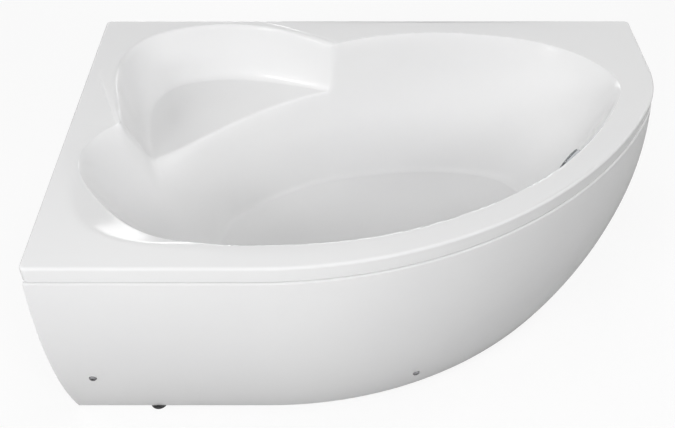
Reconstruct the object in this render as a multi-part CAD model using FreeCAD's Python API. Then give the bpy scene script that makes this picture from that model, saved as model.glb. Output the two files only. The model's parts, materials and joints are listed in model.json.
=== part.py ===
"""Corner bathtub: moulded shell with a seat, bowed front panel, steel frame on feet, pop-up waste.

Shop frame: x from the left edge, y from the front skirt to the rear edge, z from the floor, in mm.
Each piece is moved at the end so that the origin is under the middle of the whole object.
"""
import FreeCAD
import Part
import math
import os

V = FreeCAD.Vector
UP = V(0, 0, 1)

# Overall size
LENGTH = 1500.0
WIDTH = 1000.0
FLOOR_LEVEL = 180.0
BASIN_DEPTH = 410.0
OVERRUN = 20.0
SEAT_GAP = 0.3

# Shell
WALL = 6.0
SKIRT = 40.0
RIM_ROUND = 7.0
RIM_CORNER = 9.0
RIM_EDGE_ROUND = 10.0
FLOOR_ROUND = 25.0
SEAT_DEPTH = 145.0
SEAT_ROUND = 22.0
SEAT_EDGE_ROUND = 12.0

# Front edge: a straight run, then three arcs that meet smoothly, then the straight right edge.
# The slopes are those where the arcs meet, as shares of the width's slope over the length
FRONT_STRAIGHT_SHARE = 0.327
RIGHT_STRAIGHT_SHARE = 0.246
CORNER_RADIUS_SHARE = 0.36
FIRST_SLOPE_SHARE = 0.971
SECOND_SLOPE_SHARE = 2.703

# Outlines as shares of length and width, the same way round as seen from above
BASIN_RIM_SHARES = [
    (0.033, 0.365), (0.058, 0.262), (0.120, 0.161), (0.205, 0.095), (0.340, 0.075), (0.493, 0.099),
    (0.640, 0.178), (0.767, 0.312), (0.860, 0.457), (0.919, 0.600), (0.937, 0.690), (0.921, 0.767),
    (0.850, 0.878), (0.728, 0.938), (0.600, 0.950), (0.480, 0.916), (0.301, 0.789), (0.139, 0.583),
    (0.059, 0.487),
]
BASIN_FLOOR_SHARES = [
    (0.211, 0.440), (0.225, 0.345), (0.267, 0.270), (0.333, 0.225), (0.413, 0.205), (0.507, 0.215),
    (0.603, 0.265), (0.690, 0.360), (0.757, 0.470), (0.803, 0.590), (0.815, 0.660), (0.803, 0.722),
    (0.757, 0.790), (0.683, 0.818), (0.587, 0.826), (0.460, 0.800), (0.340, 0.725), (0.235, 0.600),
    (0.217, 0.520),
]
SEAT_RIM_SHARES = [
    (0.333, 0.520), (0.440, 0.640), (0.487, 0.780), (0.460, 0.868), (0.397, 0.918), (0.313, 0.960),
    (0.233, 0.976), (0.153, 0.956), (0.087, 0.900), (0.057, 0.815), (0.053, 0.720), (0.069, 0.604),
    (0.100, 0.470), (0.200, 0.430),
]
SEAT_FLOOR_SHARES = [
    (0.333, 0.530), (0.433, 0.645), (0.473, 0.770), (0.453, 0.835), (0.400, 0.875), (0.310, 0.912),
    (0.240, 0.924), (0.180, 0.915), (0.125, 0.880), (0.095, 0.805), (0.092, 0.715), (0.107, 0.592),
    (0.143, 0.470), (0.220, 0.445),
]

# Front panel: a sheet bowed in height, hung under the skirt
PANEL_THICK = 4.0
PANEL_BOW_RADIUS = 1025.0
PANEL_CREST = 9.5
PANEL_CREST_DROP = 160.0
PANEL_TOP_GAP = 2.0
PANEL_TOP_ROUND = 5.0
PANEL_FLOOR_GAP = 10.0
PANEL_END_GAP = 2.0
PANEL_SCREW_SHARES = {"left": 0.057, "right": 0.585}
PANEL_SCREW_LEVELS = {"left": 207.0, "right": 101.0}

# Panel fixings
STRAP_WIDTH = 30.0
STRAP_THICK = 3.0
STRAP_LEG = 16.0
STRAP_TAIL = 10.0
CLIP_WIDTH = 40.0
CLIP_THICK = 2.0
CLIP_LEG = 22.0
CLIP_REACH = 4.0
CLIP_PLACE_SHARES = (0.17, 0.38, 0.72, 0.87)
CUP_RADIUS = 9.5
CUP_TOP_RADIUS = 7.0
CUP_HEIGHT = 4.0
SCREW_RADIUS = 2.4
SCREW_HEAD_RADIUS = 4.8
SCREW_HEAD_HEIGHT = 3.0
SCREW_LENGTH = 26.0
RECESS_WIDTH = 1.2
RECESS_LENGTH = 5.6
RECESS_DEPTH = 1.8
NUT_WIDTH = 12.0
NUT_THICK = 4.0
HOLE_CLEARANCE = 0.4

# Boards
BOARD_THICK = 16.0
BOARD_INSET = 40.0
SEAT_BOARD_THICK = 12.0
SEAT_BOARD_LENGTH = 170.0
SEAT_BOARD_WIDTH = 130.0
SEAT_BOARD_LAP = 25.0

# Frame of square tubes: beams along the length on beams across it
BEAM = 30.0
BEAM_WALL = 2.0
CROSS_PLACE_SHARES = {"left": 0.136, "middle": 0.48, "right": 0.78}
CROSS_REAR_SHARE = 0.90
LONG_PLACE_SHARES = {"front": 0.38, "centre": 0.59, "rear": 0.76}
LONG_FRONT_END_SHARE = 0.653
CAP_PLATE = 3.0
CAP_DEPTH = 10.0
BOLT_RADIUS = 4.0
BOLT_HEAD_WIDTH = 13.0
BOLT_HEAD_HEIGHT = 5.5
BOLT_TIP = 6.0
BOARD_SCREW_RADIUS = 2.5
BOARD_SCREW_HEAD = 5.0
BOARD_SCREW_HEAD_HEIGHT = 3.0
BOARD_SCREW_BITE = 11.0
BOARD_SCREW_SHARES = {"front": (0.32, 0.57), "centre": (0.32, 0.62), "rear": (0.53, 0.72)}
POST_PLACE_SHARE = 0.815
POST_PLATE = 4.0
POST_PLATE_WIDTH = 60.0

# Levelling feet
FOOT_INSET = 25.0
FOOT_SETBACKS = {"left": 12.3, "middle": 40.0}
RIGHT_FOOT_BEAM_GAP = 35.0
FOOT_RADIUS = 21.0
FOOT_PANEL_CLEARANCE = 2.0
FOOT_NECK_RADIUS = 11.0
FOOT_NECK_HEIGHT = 9.0
FOOT_ROUND = 2.0
STUD_RADIUS = 6.0
STUD_SOCKET = 12.0
STUD_PROUD = 14.0
STUD_CLEARANCE = 0.08
STUD_GROOVE = 0.9
STUD_PITCH = 4.0
FOOT_NUT_WIDTH = 22.0
FOOT_NUT_HEIGHT = 12.0

# Waste in the floor
DRAIN_PLACE_SHARES = (0.693, 0.490)
DRAIN_BORE = 26.0
FLANGE_RADIUS = 36.0
FLANGE_THICK = 3.0
FLANGE_ROUND = 1.5
NECK_RADIUS = 25.0
NECK_WALL = 3.0
NECK_LENGTH = 36.0
HUB_RADIUS = 7.5
HUB_HEIGHT = 6.0
SPOKE_WIDTH = 3.0
GASKET_THICK = 3.0
GASKET_RADIUS = 36.0
BODY_RADIUS = 34.0
BODY_WALL = 3.0
BODY_DEPTH = 62.0
BOARD_HOLE_CLEARANCE = 16.0
PORT_RADIUS = 18.0
PORT_WALL = 3.0
PORT_REACH = 62.0
PORT_DROP = 36.0

# Pop-up plug
PLUG_RADIUS = 24.0
PLUG_THICK = 4.0
PLUG_DOME = 5.0
PLUG_SEAL_RADIUS = 21.0
PLUG_SEAL_THICK = 3.0
STEM_RADIUS = 4.0
STEM_LENGTH = 58.0
STEM_CLEARANCE = 0.08

# Trap and outlet
TAIL_RADIUS = 20.0
TAIL_WALL = 2.5
TAIL_LENGTH = 42.0
TRAP_RADIUS = 48.0
TRAP_WALL = 3.0
TRAP_FLOOR_GAP = 18.0
TRAP_NUT_RADIUS = 28.0
TRAP_NUT_HEIGHT = 16.0
OUTLET_RADIUS = 20.0
OUTLET_WALL = 2.5
OUTLET_NUT_LENGTH = 20.0
OUTLET_NUT_RADIUS = 27.0
OUTLET_DROP = 28.0
OUTLET_END_SHARE = 0.95
SOCKET_LENGTH = 24.0
BELL_LENGTH = 45.0
BELL_CLEARANCE = 0.3

# Overflow on the front right wall
OVERFLOW_TURN_SHARE = 0.4185
OVERFLOW_DROP = 60.0
OVERFLOW_BORE = 22.0
ROSETTE_RADIUS = 36.0
ROSETTE_THICK = 7.0
ROSETTE_WALL = 2.0
ROSETTE_SLOT = 9.0
KNOB_RADIUS = 33.0
KNOB_THICK = 6.0
KNOB_ROUND = 2.0
KNOB_GRIP_RADIUS = 5.0
KNOB_GRIPS = 12
SPINDLE_RADIUS = 4.0
SPINDLE_CLEARANCE = 0.08
SPIDER_THICK = 3.0
OVERFLOW_GASKET_RADIUS = 32.0
OVERFLOW_GASKET_THICK = 4.0
HOUSING_RADIUS = 30.0
HOUSING_WALL = 3.0
HOUSING_DEPTH = 34.0
ELBOW_LENGTH = 48.0

# Ribbed hose from the overflow to the waste, and the control cable beside it
HOSE_RADIUS = 17.5
HOSE_ROOT_RADIUS = 15.5
HOSE_BORE_RADIUS = 13.5
HOSE_PITCH = 7.0
HOSE_RIB_SHARES = (0.0, 0.2, 0.5, 0.7)
HOSE_BEND = 95.0
HOSE_NUT_RADIUS = 23.0
HOSE_NUT_LENGTH = 16.0
CABLE_RADIUS = 3.0
CABLE_BEND = 80.0
CABLE_ASIDE = 30.0
CABLE_DROP = 22.0

# Levels and lengths that follow from the sizes above
HEIGHT = FLOOR_LEVEL + BASIN_DEPTH
UNDERSIDE = FLOOR_LEVEL - WALL
BOARD_BOTTOM = UNDERSIDE - BOARD_THICK
LONG_BOTTOM = BOARD_BOTTOM - BEAM
CROSS_BOTTOM = LONG_BOTTOM - BEAM
PANEL_TOP = HEIGHT - SKIRT - PANEL_TOP_GAP
CREST_LEVEL = HEIGHT - PANEL_CREST_DROP
SEAT_UNDERSIDE = HEIGHT - SEAT_DEPTH - WALL
FOOT_HEIGHT = PANEL_FLOOR_GAP - FOOT_PANEL_CLEARANCE
FRONT_STRAIGHT = FRONT_STRAIGHT_SHARE * LENGTH
RIGHT_STRAIGHT = RIGHT_STRAIGHT_SHARE * WIDTH
CORNER_RADIUS = CORNER_RADIUS_SHARE * WIDTH
ORIGIN = V((LENGTH + PANEL_CREST) / 2, (WIDTH - PANEL_CREST) / 2, 0)


# General shapes

def cylinder(base, axis, radius, length):
    return Part.makeCylinder(radius, length, base, axis)


def ring(base, axis, outer, inner, length):
    return cylinder(base, axis, outer, length).cut(cylinder(base, axis, inner, length))


def box(low, high):
    size = high - low
    return Part.makeBox(size.x, size.y, size.z, low)


def hexagon(base, width, height):
    """Six-sided prism standing on base, given its width across the flats."""
    radius = width / math.sqrt(3)
    corners = []
    for k in range(7):
        angle = k * math.pi / 3
        corners.append(base + V(math.cos(angle), math.sin(angle), 0) * radius)
    return Part.Face(Part.makePolygon(corners)).extrude(UP * height)


def joined(shapes):
    return shapes[0].fuse(shapes[1:]).removeSplitter()


def level_edges(shape, level):
    """Edges that lie flat at one height."""
    near = SEAT_GAP / 10
    return [e for e in shape.Edges if e.BoundBox.ZLength < near and abs(e.BoundBox.ZMin - level) < near]


def turned(profile, base, axis):
    """Solid of revolution from (radius, height) corners, standing on base along axis."""
    corners = [V(r, 0, h) for r, h in profile]
    solid = Part.Face(Part.makePolygon(corners + corners[:1])).revolve(V(), UP, 360)
    solid.Placement = FreeCAD.Placement(base, FreeCAD.Rotation(UP, axis))
    return solid


# Front edge as arcs

def front_arcs():
    """The three arcs of the front edge as (centre, radius, first angle, last angle).

    Angles are measured from straight ahead towards the right. The first two radii follow from the
    length, the width, the straights and the slopes, so that every arc meets the next smoothly.
    """
    first = math.atan(FIRST_SLOPE_SHARE * WIDTH / LENGTH)
    second = math.atan(SECOND_SLOPE_SHARE * WIDTH / LENGTH)
    a, b = math.sin(first), math.sin(second) - math.sin(first)
    c, d = 1 - math.cos(first), math.cos(first) - math.cos(second)
    across = LENGTH - FRONT_STRAIGHT - CORNER_RADIUS * (1 - math.sin(second))
    back = WIDTH - RIGHT_STRAIGHT - CORNER_RADIUS * math.cos(second)
    det = a * d - b * c
    radii = [(across * d - b * back) / det, (a * back - c * across) / det, CORNER_RADIUS]
    bends = [0, first, second, math.pi / 2]
    centre = V(FRONT_STRAIGHT, radii[0], 0)
    arcs = []
    for k, radius in enumerate(radii):
        if k:
            centre = centre + outward(bends[k]) * (radii[k - 1] - radius)
        arcs.append((centre, radius, bends[k], bends[k + 1]))
    return arcs


def outward(angle):
    return V(math.sin(angle), -math.cos(angle), 0)


def front_place(x):
    """Point of the front edge at x, and the angle that it faces."""
    for centre, radius, start, end in front_arcs():
        if centre.x + radius * math.sin(start) <= x <= centre.x + radius * math.sin(end):
            angle = math.asin((x - centre.x) / radius)
            return centre + outward(angle) * radius, angle
    return V(x, 0, 0), 0.0


def front_edges(inset, start_x):
    """Straight run and arcs of the front edge, moved inwards by inset."""
    edges = [Part.makeLine(V(start_x, inset, 0), V(FRONT_STRAIGHT, inset, 0))]
    for centre, radius, start, end in front_arcs():
        points = [centre + outward(t) * (radius - inset) for t in (start, (start + end) / 2, end)]
        edges.append(Part.Arc(*points).toShape())
    return edges


def rim_face(inset, corner):
    """Plan of the rim: front edge, right edge, rear edge and left edge with small corner arcs."""
    left, right, rear = inset, LENGTH - inset, WIDTH - inset
    diagonal = corner * (1 - math.sqrt(0.5))
    edges = front_edges(inset, left + corner)
    start = V(right, WIDTH - RIGHT_STRAIGHT, 0)
    turns = [
        (V(right, rear - corner, 0), V(right - diagonal, rear - diagonal, 0), V(right - corner, rear, 0)),
        (V(left + corner, rear, 0), V(left + diagonal, rear - diagonal, 0), V(left, rear - corner, 0)),
        (V(left, inset + corner, 0), V(left + diagonal, inset + diagonal, 0), V(left + corner, inset, 0)),
    ]
    for before, middle, after in turns:
        edges.append(Part.makeLine(start, before))
        edges.append(Part.Arc(before, middle, after).toShape())
        start = after
    return Part.Face(Part.Wire(edges))


def along_front(profile, start_x):
    """Sweep a closed profile of (distance out, height) edges along the front edge."""
    face = Part.Face(Part.Wire(profile))
    straight = face.copy()
    straight.translate(V(start_x, 0, 0))
    runs = [straight.extrude(V(FRONT_STRAIGHT - start_x, 0, 0))]
    for centre, radius, start, end in front_arcs():
        section = face.copy()
        section.rotate(V(), UP, math.degrees(start))
        section.translate(centre + outward(start) * radius)
        runs.append(section.revolve(centre, UP, math.degrees(end - start)))
    return joined(runs)


# Shell

def outline_curve(rim, floor, down_share, grow, level):
    """Smooth closed outline at a level, a share of the way down from the rim's outline to the floor's.

    It is moved outwards by grow, and spaced along itself as the rim's corners are.
    """
    count = len(rim)
    tops = [V(x * LENGTH, y * WIDTH, level) for x, y in rim]
    lows = [V(x * LENGTH, y * WIDTH, level) for x, y in floor]
    flat = [top * (1 - down_share) + low * down_share for top, low in zip(tops, lows)]
    steps = [0.0]
    points = []
    for k in range(count):
        after = (k + 1) % count
        along = flat[after] - flat[k - 1]
        along.normalize()
        points.append(flat[k] + along.cross(UP) * grow)
        steps.append(steps[-1] + (tops[after] - tops[k]).Length)
    curve = Part.BSplineCurve()
    curve.interpolate(Points=points, Parameters=[s / steps[-1] for s in steps], PeriodicFlag=True)
    return curve


def pocket(rim, floor, depth, rounding, grow, top):
    """Straight-walled pocket between two outlines, with a rounded floor edge.

    grow moves its walls outwards and its floor down, which gives the outside of the wall.
    """
    bottom = HEIGHT - grow - depth
    wires = []
    for level in (top, bottom):
        down_share = (HEIGHT - grow - level) / depth
        wires.append(Part.Wire(outline_curve(rim, floor, down_share, grow, level).toShape()))
    solid = Part.makeLoft(wires, True, True)
    return solid.makeFillet(rounding + grow, level_edges(solid, bottom))


def pockets(grow, basin_top, seat_top):
    basin = pocket(BASIN_RIM_SHARES, BASIN_FLOOR_SHARES, BASIN_DEPTH, FLOOR_ROUND, grow, basin_top)
    seat = pocket(SEAT_RIM_SHARES, SEAT_FLOOR_SHARES, SEAT_DEPTH, SEAT_ROUND, grow, seat_top)
    return basin, seat


def seat_edges(hollow, basin, seat):
    """Edges of the hollow where the seat pocket meets the basin."""
    near = SEAT_GAP / 10
    found = []
    for edge in hollow.Edges:
        middle = Part.Vertex(edge.valueAt((edge.FirstParameter + edge.LastParameter) / 2))
        gaps = [middle.distToShape(solid.Shells[0])[0] for solid in (basin, seat)]
        if middle.Z < HEIGHT and max(gaps) < near:
            found.append(edge)
    return found


def wall_place(turn_share, drop):
    """Point of the basin's inner wall and its normal, which points into the basin."""
    curve = outline_curve(BASIN_RIM_SHARES, BASIN_FLOOR_SHARES, drop / BASIN_DEPTH, 0, HEIGHT - drop)
    floor = outline_curve(BASIN_RIM_SHARES, BASIN_FLOOR_SHARES, 1, 0, FLOOR_LEVEL)
    point = curve.value(turn_share)
    normal = curve.tangent(turn_share)[0].cross(floor.value(turn_share) - point)
    normal.normalize()
    return point, normal


def tub_shell():
    basin, seat = pockets(0, HEIGHT + OVERRUN, HEIGHT + OVERRUN / 2)
    hollow = basin.fuse(seat).removeSplitter().Solids[0]
    hollow = hollow.makeFillet(SEAT_EDGE_ROUND, seat_edges(hollow, basin, seat))
    outer_basin, outer_seat = pockets(WALL, HEIGHT - WALL / 2, HEIGHT - WALL / 4)
    deck = rim_face(0, RIM_CORNER).extrude(UP * SKIRT)
    deck.translate(UP * (HEIGHT - SKIRT))
    deck = deck.makeFillet(RIM_ROUND, level_edges(deck, HEIGHT))
    under = rim_face(WALL, RIM_CORNER - WALL).extrude(UP * SKIRT)
    under.translate(UP * (HEIGHT - SKIRT - WALL))
    shell = deck.cut(under).fuse(outer_basin.fuse(outer_seat)).cut(hollow).Solids[0]
    margin = WALL + RIM_ROUND
    inner = []
    for edge in level_edges(shell, HEIGHT):
        if edge.BoundBox.YMin > margin and edge.BoundBox.YMax < WIDTH - margin:
            inner.append(edge)
    shell = shell.makeFillet(RIM_EDGE_ROUND, inner)
    drain = drain_point()
    shell = shell.cut(cylinder(drain - UP * OVERRUN, UP, DRAIN_BORE, 2 * OVERRUN))
    place, normal = overflow_axis()
    return shell.cut(cylinder(place - normal * OVERRUN, normal, OVERFLOW_BORE, 2 * OVERRUN))


# Front panel and its fixings

def bow(level, inner=0):
    """Distance of the panel's outer face in front of the skirt at a height, less inner."""
    radius = PANEL_BOW_RADIUS - inner
    return PANEL_CREST - PANEL_BOW_RADIUS + math.sqrt(radius ** 2 - (level - CREST_LEVEL) ** 2)


def front_panel():
    low, high = PANEL_FLOOR_GAP, PANEL_TOP - PANEL_TOP_ROUND
    under = PANEL_TOP - PANEL_THICK
    step = PANEL_TOP_ROUND * (1 - math.sqrt(0.5))
    top_out = bow(high)

    def spot(out, level):
        return V(0, -out, level)

    def face_arc(start, end, inner):
        levels = (start, CREST_LEVEL, end)
        return Part.Arc(*[spot(bow(z, inner), z) for z in levels]).toShape()

    shoulder = spot(top_out - PANEL_TOP_ROUND, PANEL_TOP)
    edges = [
        face_arc(low, high, 0),
        Part.Arc(spot(top_out, high), spot(top_out - step, PANEL_TOP - step), shoulder).toShape(),
        Part.makeLine(shoulder, spot(-WALL, PANEL_TOP)),
        Part.makeLine(spot(-WALL, PANEL_TOP), spot(-WALL, under)),
        Part.makeLine(spot(-WALL, under), spot(bow(under, PANEL_THICK), under)),
        face_arc(under, low, PANEL_THICK),
        Part.makeLine(spot(bow(low, PANEL_THICK), low), spot(bow(low), low)),
    ]
    panel = along_front(edges, PANEL_END_GAP)
    for side in PANEL_SCREW_SHARES:
        point, axis = panel_screw_axis(side)
        hole = cylinder(point - axis * OVERRUN, axis, SCREW_RADIUS + HOLE_CLEARANCE, 2 * OVERRUN)
        panel = panel.cut(hole)
    return panel


def panel_screw_axis(side):
    """Point on the panel's outer face and its outward normal at a screw."""
    level = PANEL_SCREW_LEVELS[side]
    edge, angle = front_place(PANEL_SCREW_SHARES[side] * LENGTH)
    out = outward(angle)
    lean = math.asin((level - CREST_LEVEL) / PANEL_BOW_RADIUS)
    return edge + out * bow(level) + UP * level, out * math.cos(lean) + UP * math.sin(lean)


def panel_strap(side):
    """Steel angle hung from the underside of the rim, straight down to the panel screw."""
    level = PANEL_SCREW_LEVELS[side]
    edge, angle = front_place(PANEL_SCREW_SHARES[side] * LENGTH)
    back = STRAP_THICK - bow(level - STRAP_TAIL, PANEL_THICK)
    half = STRAP_WIDTH / 2
    top = HEIGHT - WALL
    web = box(V(-half, back - STRAP_THICK, level - STRAP_TAIL), V(half, back, top))
    leg = box(V(-half, back - STRAP_LEG, top - STRAP_THICK), V(half, back, top))
    strap = joined([web, leg])
    strap.rotate(V(), UP, math.degrees(angle))
    strap.translate(edge)
    point, axis = panel_screw_axis(side)
    hole = cylinder(point - axis * 2 * OVERRUN, axis, SCREW_RADIUS + HOLE_CLEARANCE, 2 * OVERRUN)
    return strap.cut(hole)


def panel_clips():
    """Bent clips behind the skirt that carry the panel's top flange."""
    top, under = HEIGHT - WALL, PANEL_TOP - PANEL_THICK
    half = CLIP_WIDTH / 2
    clips = []
    for share in CLIP_PLACE_SHARES:
        edge, angle = front_place(share * LENGTH)
        back = WALL + SEAT_GAP
        web = box(V(-half, back, under - CLIP_THICK), V(half, back + CLIP_THICK, top))
        leg = box(V(-half, back, top - CLIP_THICK), V(half, back + CLIP_LEG, top))
        hook = box(V(-half, back - CLIP_REACH, under - CLIP_THICK), V(half, back + CLIP_THICK, under))
        clip = joined([web, leg, hook])
        clip.rotate(V(), UP, math.degrees(angle))
        clip.translate(edge)
        clips.append(clip)
    return Part.Compound(clips)


def panel_cups():
    """Dished washers that the screw heads sit in, one on the panel at each screw."""
    cups = []
    hole = SCREW_RADIUS + HOLE_CLEARANCE
    for side in PANEL_SCREW_SHARES:
        point, axis = panel_screw_axis(side)
        seat = CUP_HEIGHT - SCREW_HEAD_HEIGHT
        profile = [
            (hole, 0), (CUP_RADIUS, 0), (CUP_TOP_RADIUS, CUP_HEIGHT),
            (SCREW_HEAD_RADIUS, CUP_HEIGHT), (hole, seat),
        ]
        cups.append(turned(profile, point, axis))
    return Part.Compound(cups)


def panel_screws():
    screws = []
    for side in PANEL_SCREW_SHARES:
        point, axis = panel_screw_axis(side)
        seat = CUP_HEIGHT - SCREW_HEAD_HEIGHT
        neck = SCREW_RADIUS + HOLE_CLEARANCE
        profile = [
            (0, CUP_HEIGHT - SCREW_LENGTH), (SCREW_RADIUS, CUP_HEIGHT - SCREW_LENGTH),
            (SCREW_RADIUS, seat), (neck, seat), (SCREW_HEAD_RADIUS, CUP_HEIGHT), (0, CUP_HEIGHT),
        ]
        half, reach = RECESS_WIDTH / 2, RECESS_LENGTH / 2
        deep, high = CUP_HEIGHT - RECESS_DEPTH, CUP_HEIGHT + RECESS_DEPTH
        cross = box(V(-reach, -half, deep), V(reach, half, high))
        cross = cross.fuse(box(V(-half, -reach, deep), V(half, reach, high)))
        cross.Placement = FreeCAD.Placement(point, FreeCAD.Rotation(UP, axis))
        screws.append(turned(profile, point, axis).cut(cross))
    return Part.Compound(screws)


def panel_nuts():
    """Nuts on the screws, tight behind the straps."""
    nuts = []
    for side in PANEL_SCREW_SHARES:
        point, axis = panel_screw_axis(side)
        level = PANEL_SCREW_LEVELS[side]
        half = NUT_WIDTH / 2
        depth = bow(level) - bow(level - STRAP_TAIL, PANEL_THICK) + STRAP_THICK + NUT_THICK
        nut = box(V(-half, -half, -depth), V(half, half, -PANEL_THICK))
        nut.Placement = FreeCAD.Placement(point, FreeCAD.Rotation(UP, axis))
        behind = nut.cut(front_slab(side))
        nuts.append(behind.cut(cylinder(point - axis * 2 * OVERRUN, axis, SCREW_RADIUS, 2 * OVERRUN)))
    return Part.Compound(nuts)


def front_slab(side):
    """Block in front of a strap's rear face, used to trim what stands behind it."""
    level = PANEL_SCREW_LEVELS[side]
    edge, angle = front_place(PANEL_SCREW_SHARES[side] * LENGTH)
    back = STRAP_THICK - bow(level - STRAP_TAIL, PANEL_THICK)
    low = V(-STRAP_WIDTH, back - STRAP_WIDTH, level - STRAP_WIDTH)
    slab = box(low, V(STRAP_WIDTH, back, level + STRAP_WIDTH))
    slab.rotate(V(), UP, math.degrees(angle))
    slab.translate(edge)
    return slab


# Boards and frame

def base_board():
    """Chipboard bonded under the floor, with a hole round the waste."""
    curve = outline_curve(BASIN_RIM_SHARES, BASIN_FLOOR_SHARES, 1, -BOARD_INSET, BOARD_BOTTOM)
    board = Part.Face(Part.Wire(curve.toShape())).extrude(UP * BOARD_THICK)
    hole = BODY_RADIUS + BOARD_HOLE_CLEARANCE
    board = board.cut(cylinder(drain_point() - UP * BASIN_DEPTH, UP, hole, BASIN_DEPTH))
    for point in board_screw_points():
        board = board.cut(cylinder(point, UP, BOARD_SCREW_RADIUS, BEAM + BOARD_SCREW_BITE))
    return board


def seat_board():
    left = CROSS_PLACE_SHARES["left"] * LENGTH - SEAT_BOARD_LAP
    middle = POST_PLACE_SHARE * WIDTH
    low = V(left, middle - SEAT_BOARD_WIDTH / 2, SEAT_UNDERSIDE - SEAT_BOARD_THICK)
    return Part.makeBox(SEAT_BOARD_LENGTH, SEAT_BOARD_WIDTH, SEAT_BOARD_THICK, low)


def square_tube(low, high, axis):
    """Square tube between two corners, open at both ends along axis."""
    across = V(BEAM_WALL, BEAM_WALL, BEAM_WALL)
    inside = across - V(axis.x, axis.y, axis.z) * BEAM_WALL
    return box(low, high).cut(box(low + inside, high - inside))


def cross_span(side):
    """Middle line of a beam across the tub: x, front end, rear end.

    The front foot stands behind the lower edge of the panel, or in front of the centre beam on the
    right, and the beam reaches just past it.
    """
    edge, angle = front_place(CROSS_PLACE_SHARES[side] * LENGTH)
    if side in FOOT_SETBACKS:
        panel_foot = edge.y - bow(PANEL_FLOOR_GAP, PANEL_THICK) / math.cos(angle)
        foot = panel_foot + FOOT_SETBACKS[side]
    else:
        foot = LONG_PLACE_SHARES["centre"] * WIDTH - RIGHT_FOOT_BEAM_GAP
    return edge.x, foot - FOOT_INSET, CROSS_REAR_SHARE * WIDTH


def long_span(name):
    """Middle line of a beam along the tub: y, left end, right end."""
    left = CROSS_PLACE_SHARES["left"] * LENGTH - BEAM
    right = CROSS_PLACE_SHARES["right"] * LENGTH + BEAM
    if name == "front":
        right = LONG_FRONT_END_SHARE * LENGTH
    return LONG_PLACE_SHARES[name] * WIDTH, left, right


def crossings():
    """Where a long beam lies on a cross beam."""
    places = []
    for side in CROSS_PLACE_SHARES:
        x, front, rear = cross_span(side)
        for name in LONG_PLACE_SHARES:
            y, left, right = long_span(name)
            if left < x < right and front < y < rear:
                places.append(V(x, y, CROSS_BOTTOM))
    return places


def feet():
    """Middle of each foot on the floor, two to a cross beam."""
    places = []
    for side in CROSS_PLACE_SHARES:
        x, front, rear = cross_span(side)
        places += [V(x, front + FOOT_INSET, 0), V(x, rear - FOOT_INSET, 0)]
    return places


def board_screw_points():
    """Undersides of the long beams at the wood screws."""
    points = []
    for name, shares in BOARD_SCREW_SHARES.items():
        y = LONG_PLACE_SHARES[name] * WIDTH
        points += [V(share * LENGTH, y, LONG_BOTTOM) for share in shares]
    return points


def cross_beam(side):
    x, front, rear = cross_span(side)
    half = BEAM / 2
    beam = square_tube(V(x - half, front, CROSS_BOTTOM), V(x + half, rear, CROSS_BOTTOM + BEAM), V(0, 1, 0))
    for foot in feet():
        beam = beam.cut(cylinder(foot, UP, STUD_RADIUS + HOLE_CLEARANCE, HEIGHT))
    for place in crossings():
        beam = beam.cut(cylinder(place - UP * BEAM, UP, BOLT_RADIUS, 3 * BEAM))
    return beam


def long_beam(name):
    y, left, right = long_span(name)
    half = BEAM / 2
    beam = square_tube(V(left, y - half, LONG_BOTTOM), V(right, y + half, BOARD_BOTTOM), V(1, 0, 0))
    for place in crossings():
        beam = beam.cut(cylinder(place, UP, BOLT_RADIUS, BEAM + BEAM / 2))
    for point in board_screw_points():
        beam = beam.cut(cylinder(point - UP * BEAM / 2, UP, BOARD_SCREW_RADIUS, 2 * BEAM))
    return beam


def end_cap(end, out):
    """Plug for a tube's open end: a plate outside and a block inside."""
    plate = Part.makeBox(CAP_PLATE, BEAM, BEAM, V(0, -BEAM / 2, -BEAM / 2))
    width = BEAM - 2 * BEAM_WALL
    block = Part.makeBox(CAP_DEPTH, width, width, V(-CAP_DEPTH, -width / 2, -width / 2))
    cap = joined([plate, block])
    cap.Placement = FreeCAD.Placement(end, FreeCAD.Rotation(V(1, 0, 0), out))
    return cap


def beam_end_caps():
    caps = []
    for side in CROSS_PLACE_SHARES:
        x, front, rear = cross_span(side)
        level = CROSS_BOTTOM + BEAM / 2
        caps += [end_cap(V(x, front, level), V(0, -1, 0)), end_cap(V(x, rear, level), V(0, 1, 0))]
    for name in LONG_PLACE_SHARES:
        y, left, right = long_span(name)
        level = LONG_BOTTOM + BEAM / 2
        caps += [end_cap(V(left, y, level), V(-1, 0, 0)), end_cap(V(right, y, level), V(1, 0, 0))]
    return Part.Compound(caps)


def frame_bolts():
    """Bolts from below through each crossing of two beams."""
    length = BEAM + BEAM_WALL + BOLT_TIP
    bolts = []
    for place in crossings():
        head = hexagon(place - UP * BOLT_HEAD_HEIGHT, BOLT_HEAD_WIDTH, BOLT_HEAD_HEIGHT)
        bolts.append(joined([head, cylinder(place, UP, BOLT_RADIUS, length)]))
    return Part.Compound(bolts)


def board_screws():
    """Wood screws from below through the long beams into the base board."""
    screws = []
    for point in board_screw_points():
        head = cylinder(point - UP * BOARD_SCREW_HEAD_HEIGHT, UP, BOARD_SCREW_HEAD, BOARD_SCREW_HEAD_HEIGHT)
        screws.append(joined([head, cylinder(point, UP, BOARD_SCREW_RADIUS, BEAM + BOARD_SCREW_BITE)]))
    return Part.Compound(screws)


def seat_post():
    """Square tube that stands on the left cross beam under the seat."""
    foot = V(CROSS_PLACE_SHARES["left"] * LENGTH, POST_PLACE_SHARE * WIDTH, LONG_BOTTOM)
    half = BEAM / 2
    top = SEAT_UNDERSIDE - SEAT_BOARD_THICK - POST_PLATE
    low, high = foot - V(half, half, 0), V(foot.x + half, foot.y + half, top)
    return square_tube(low, high, UP)


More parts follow.
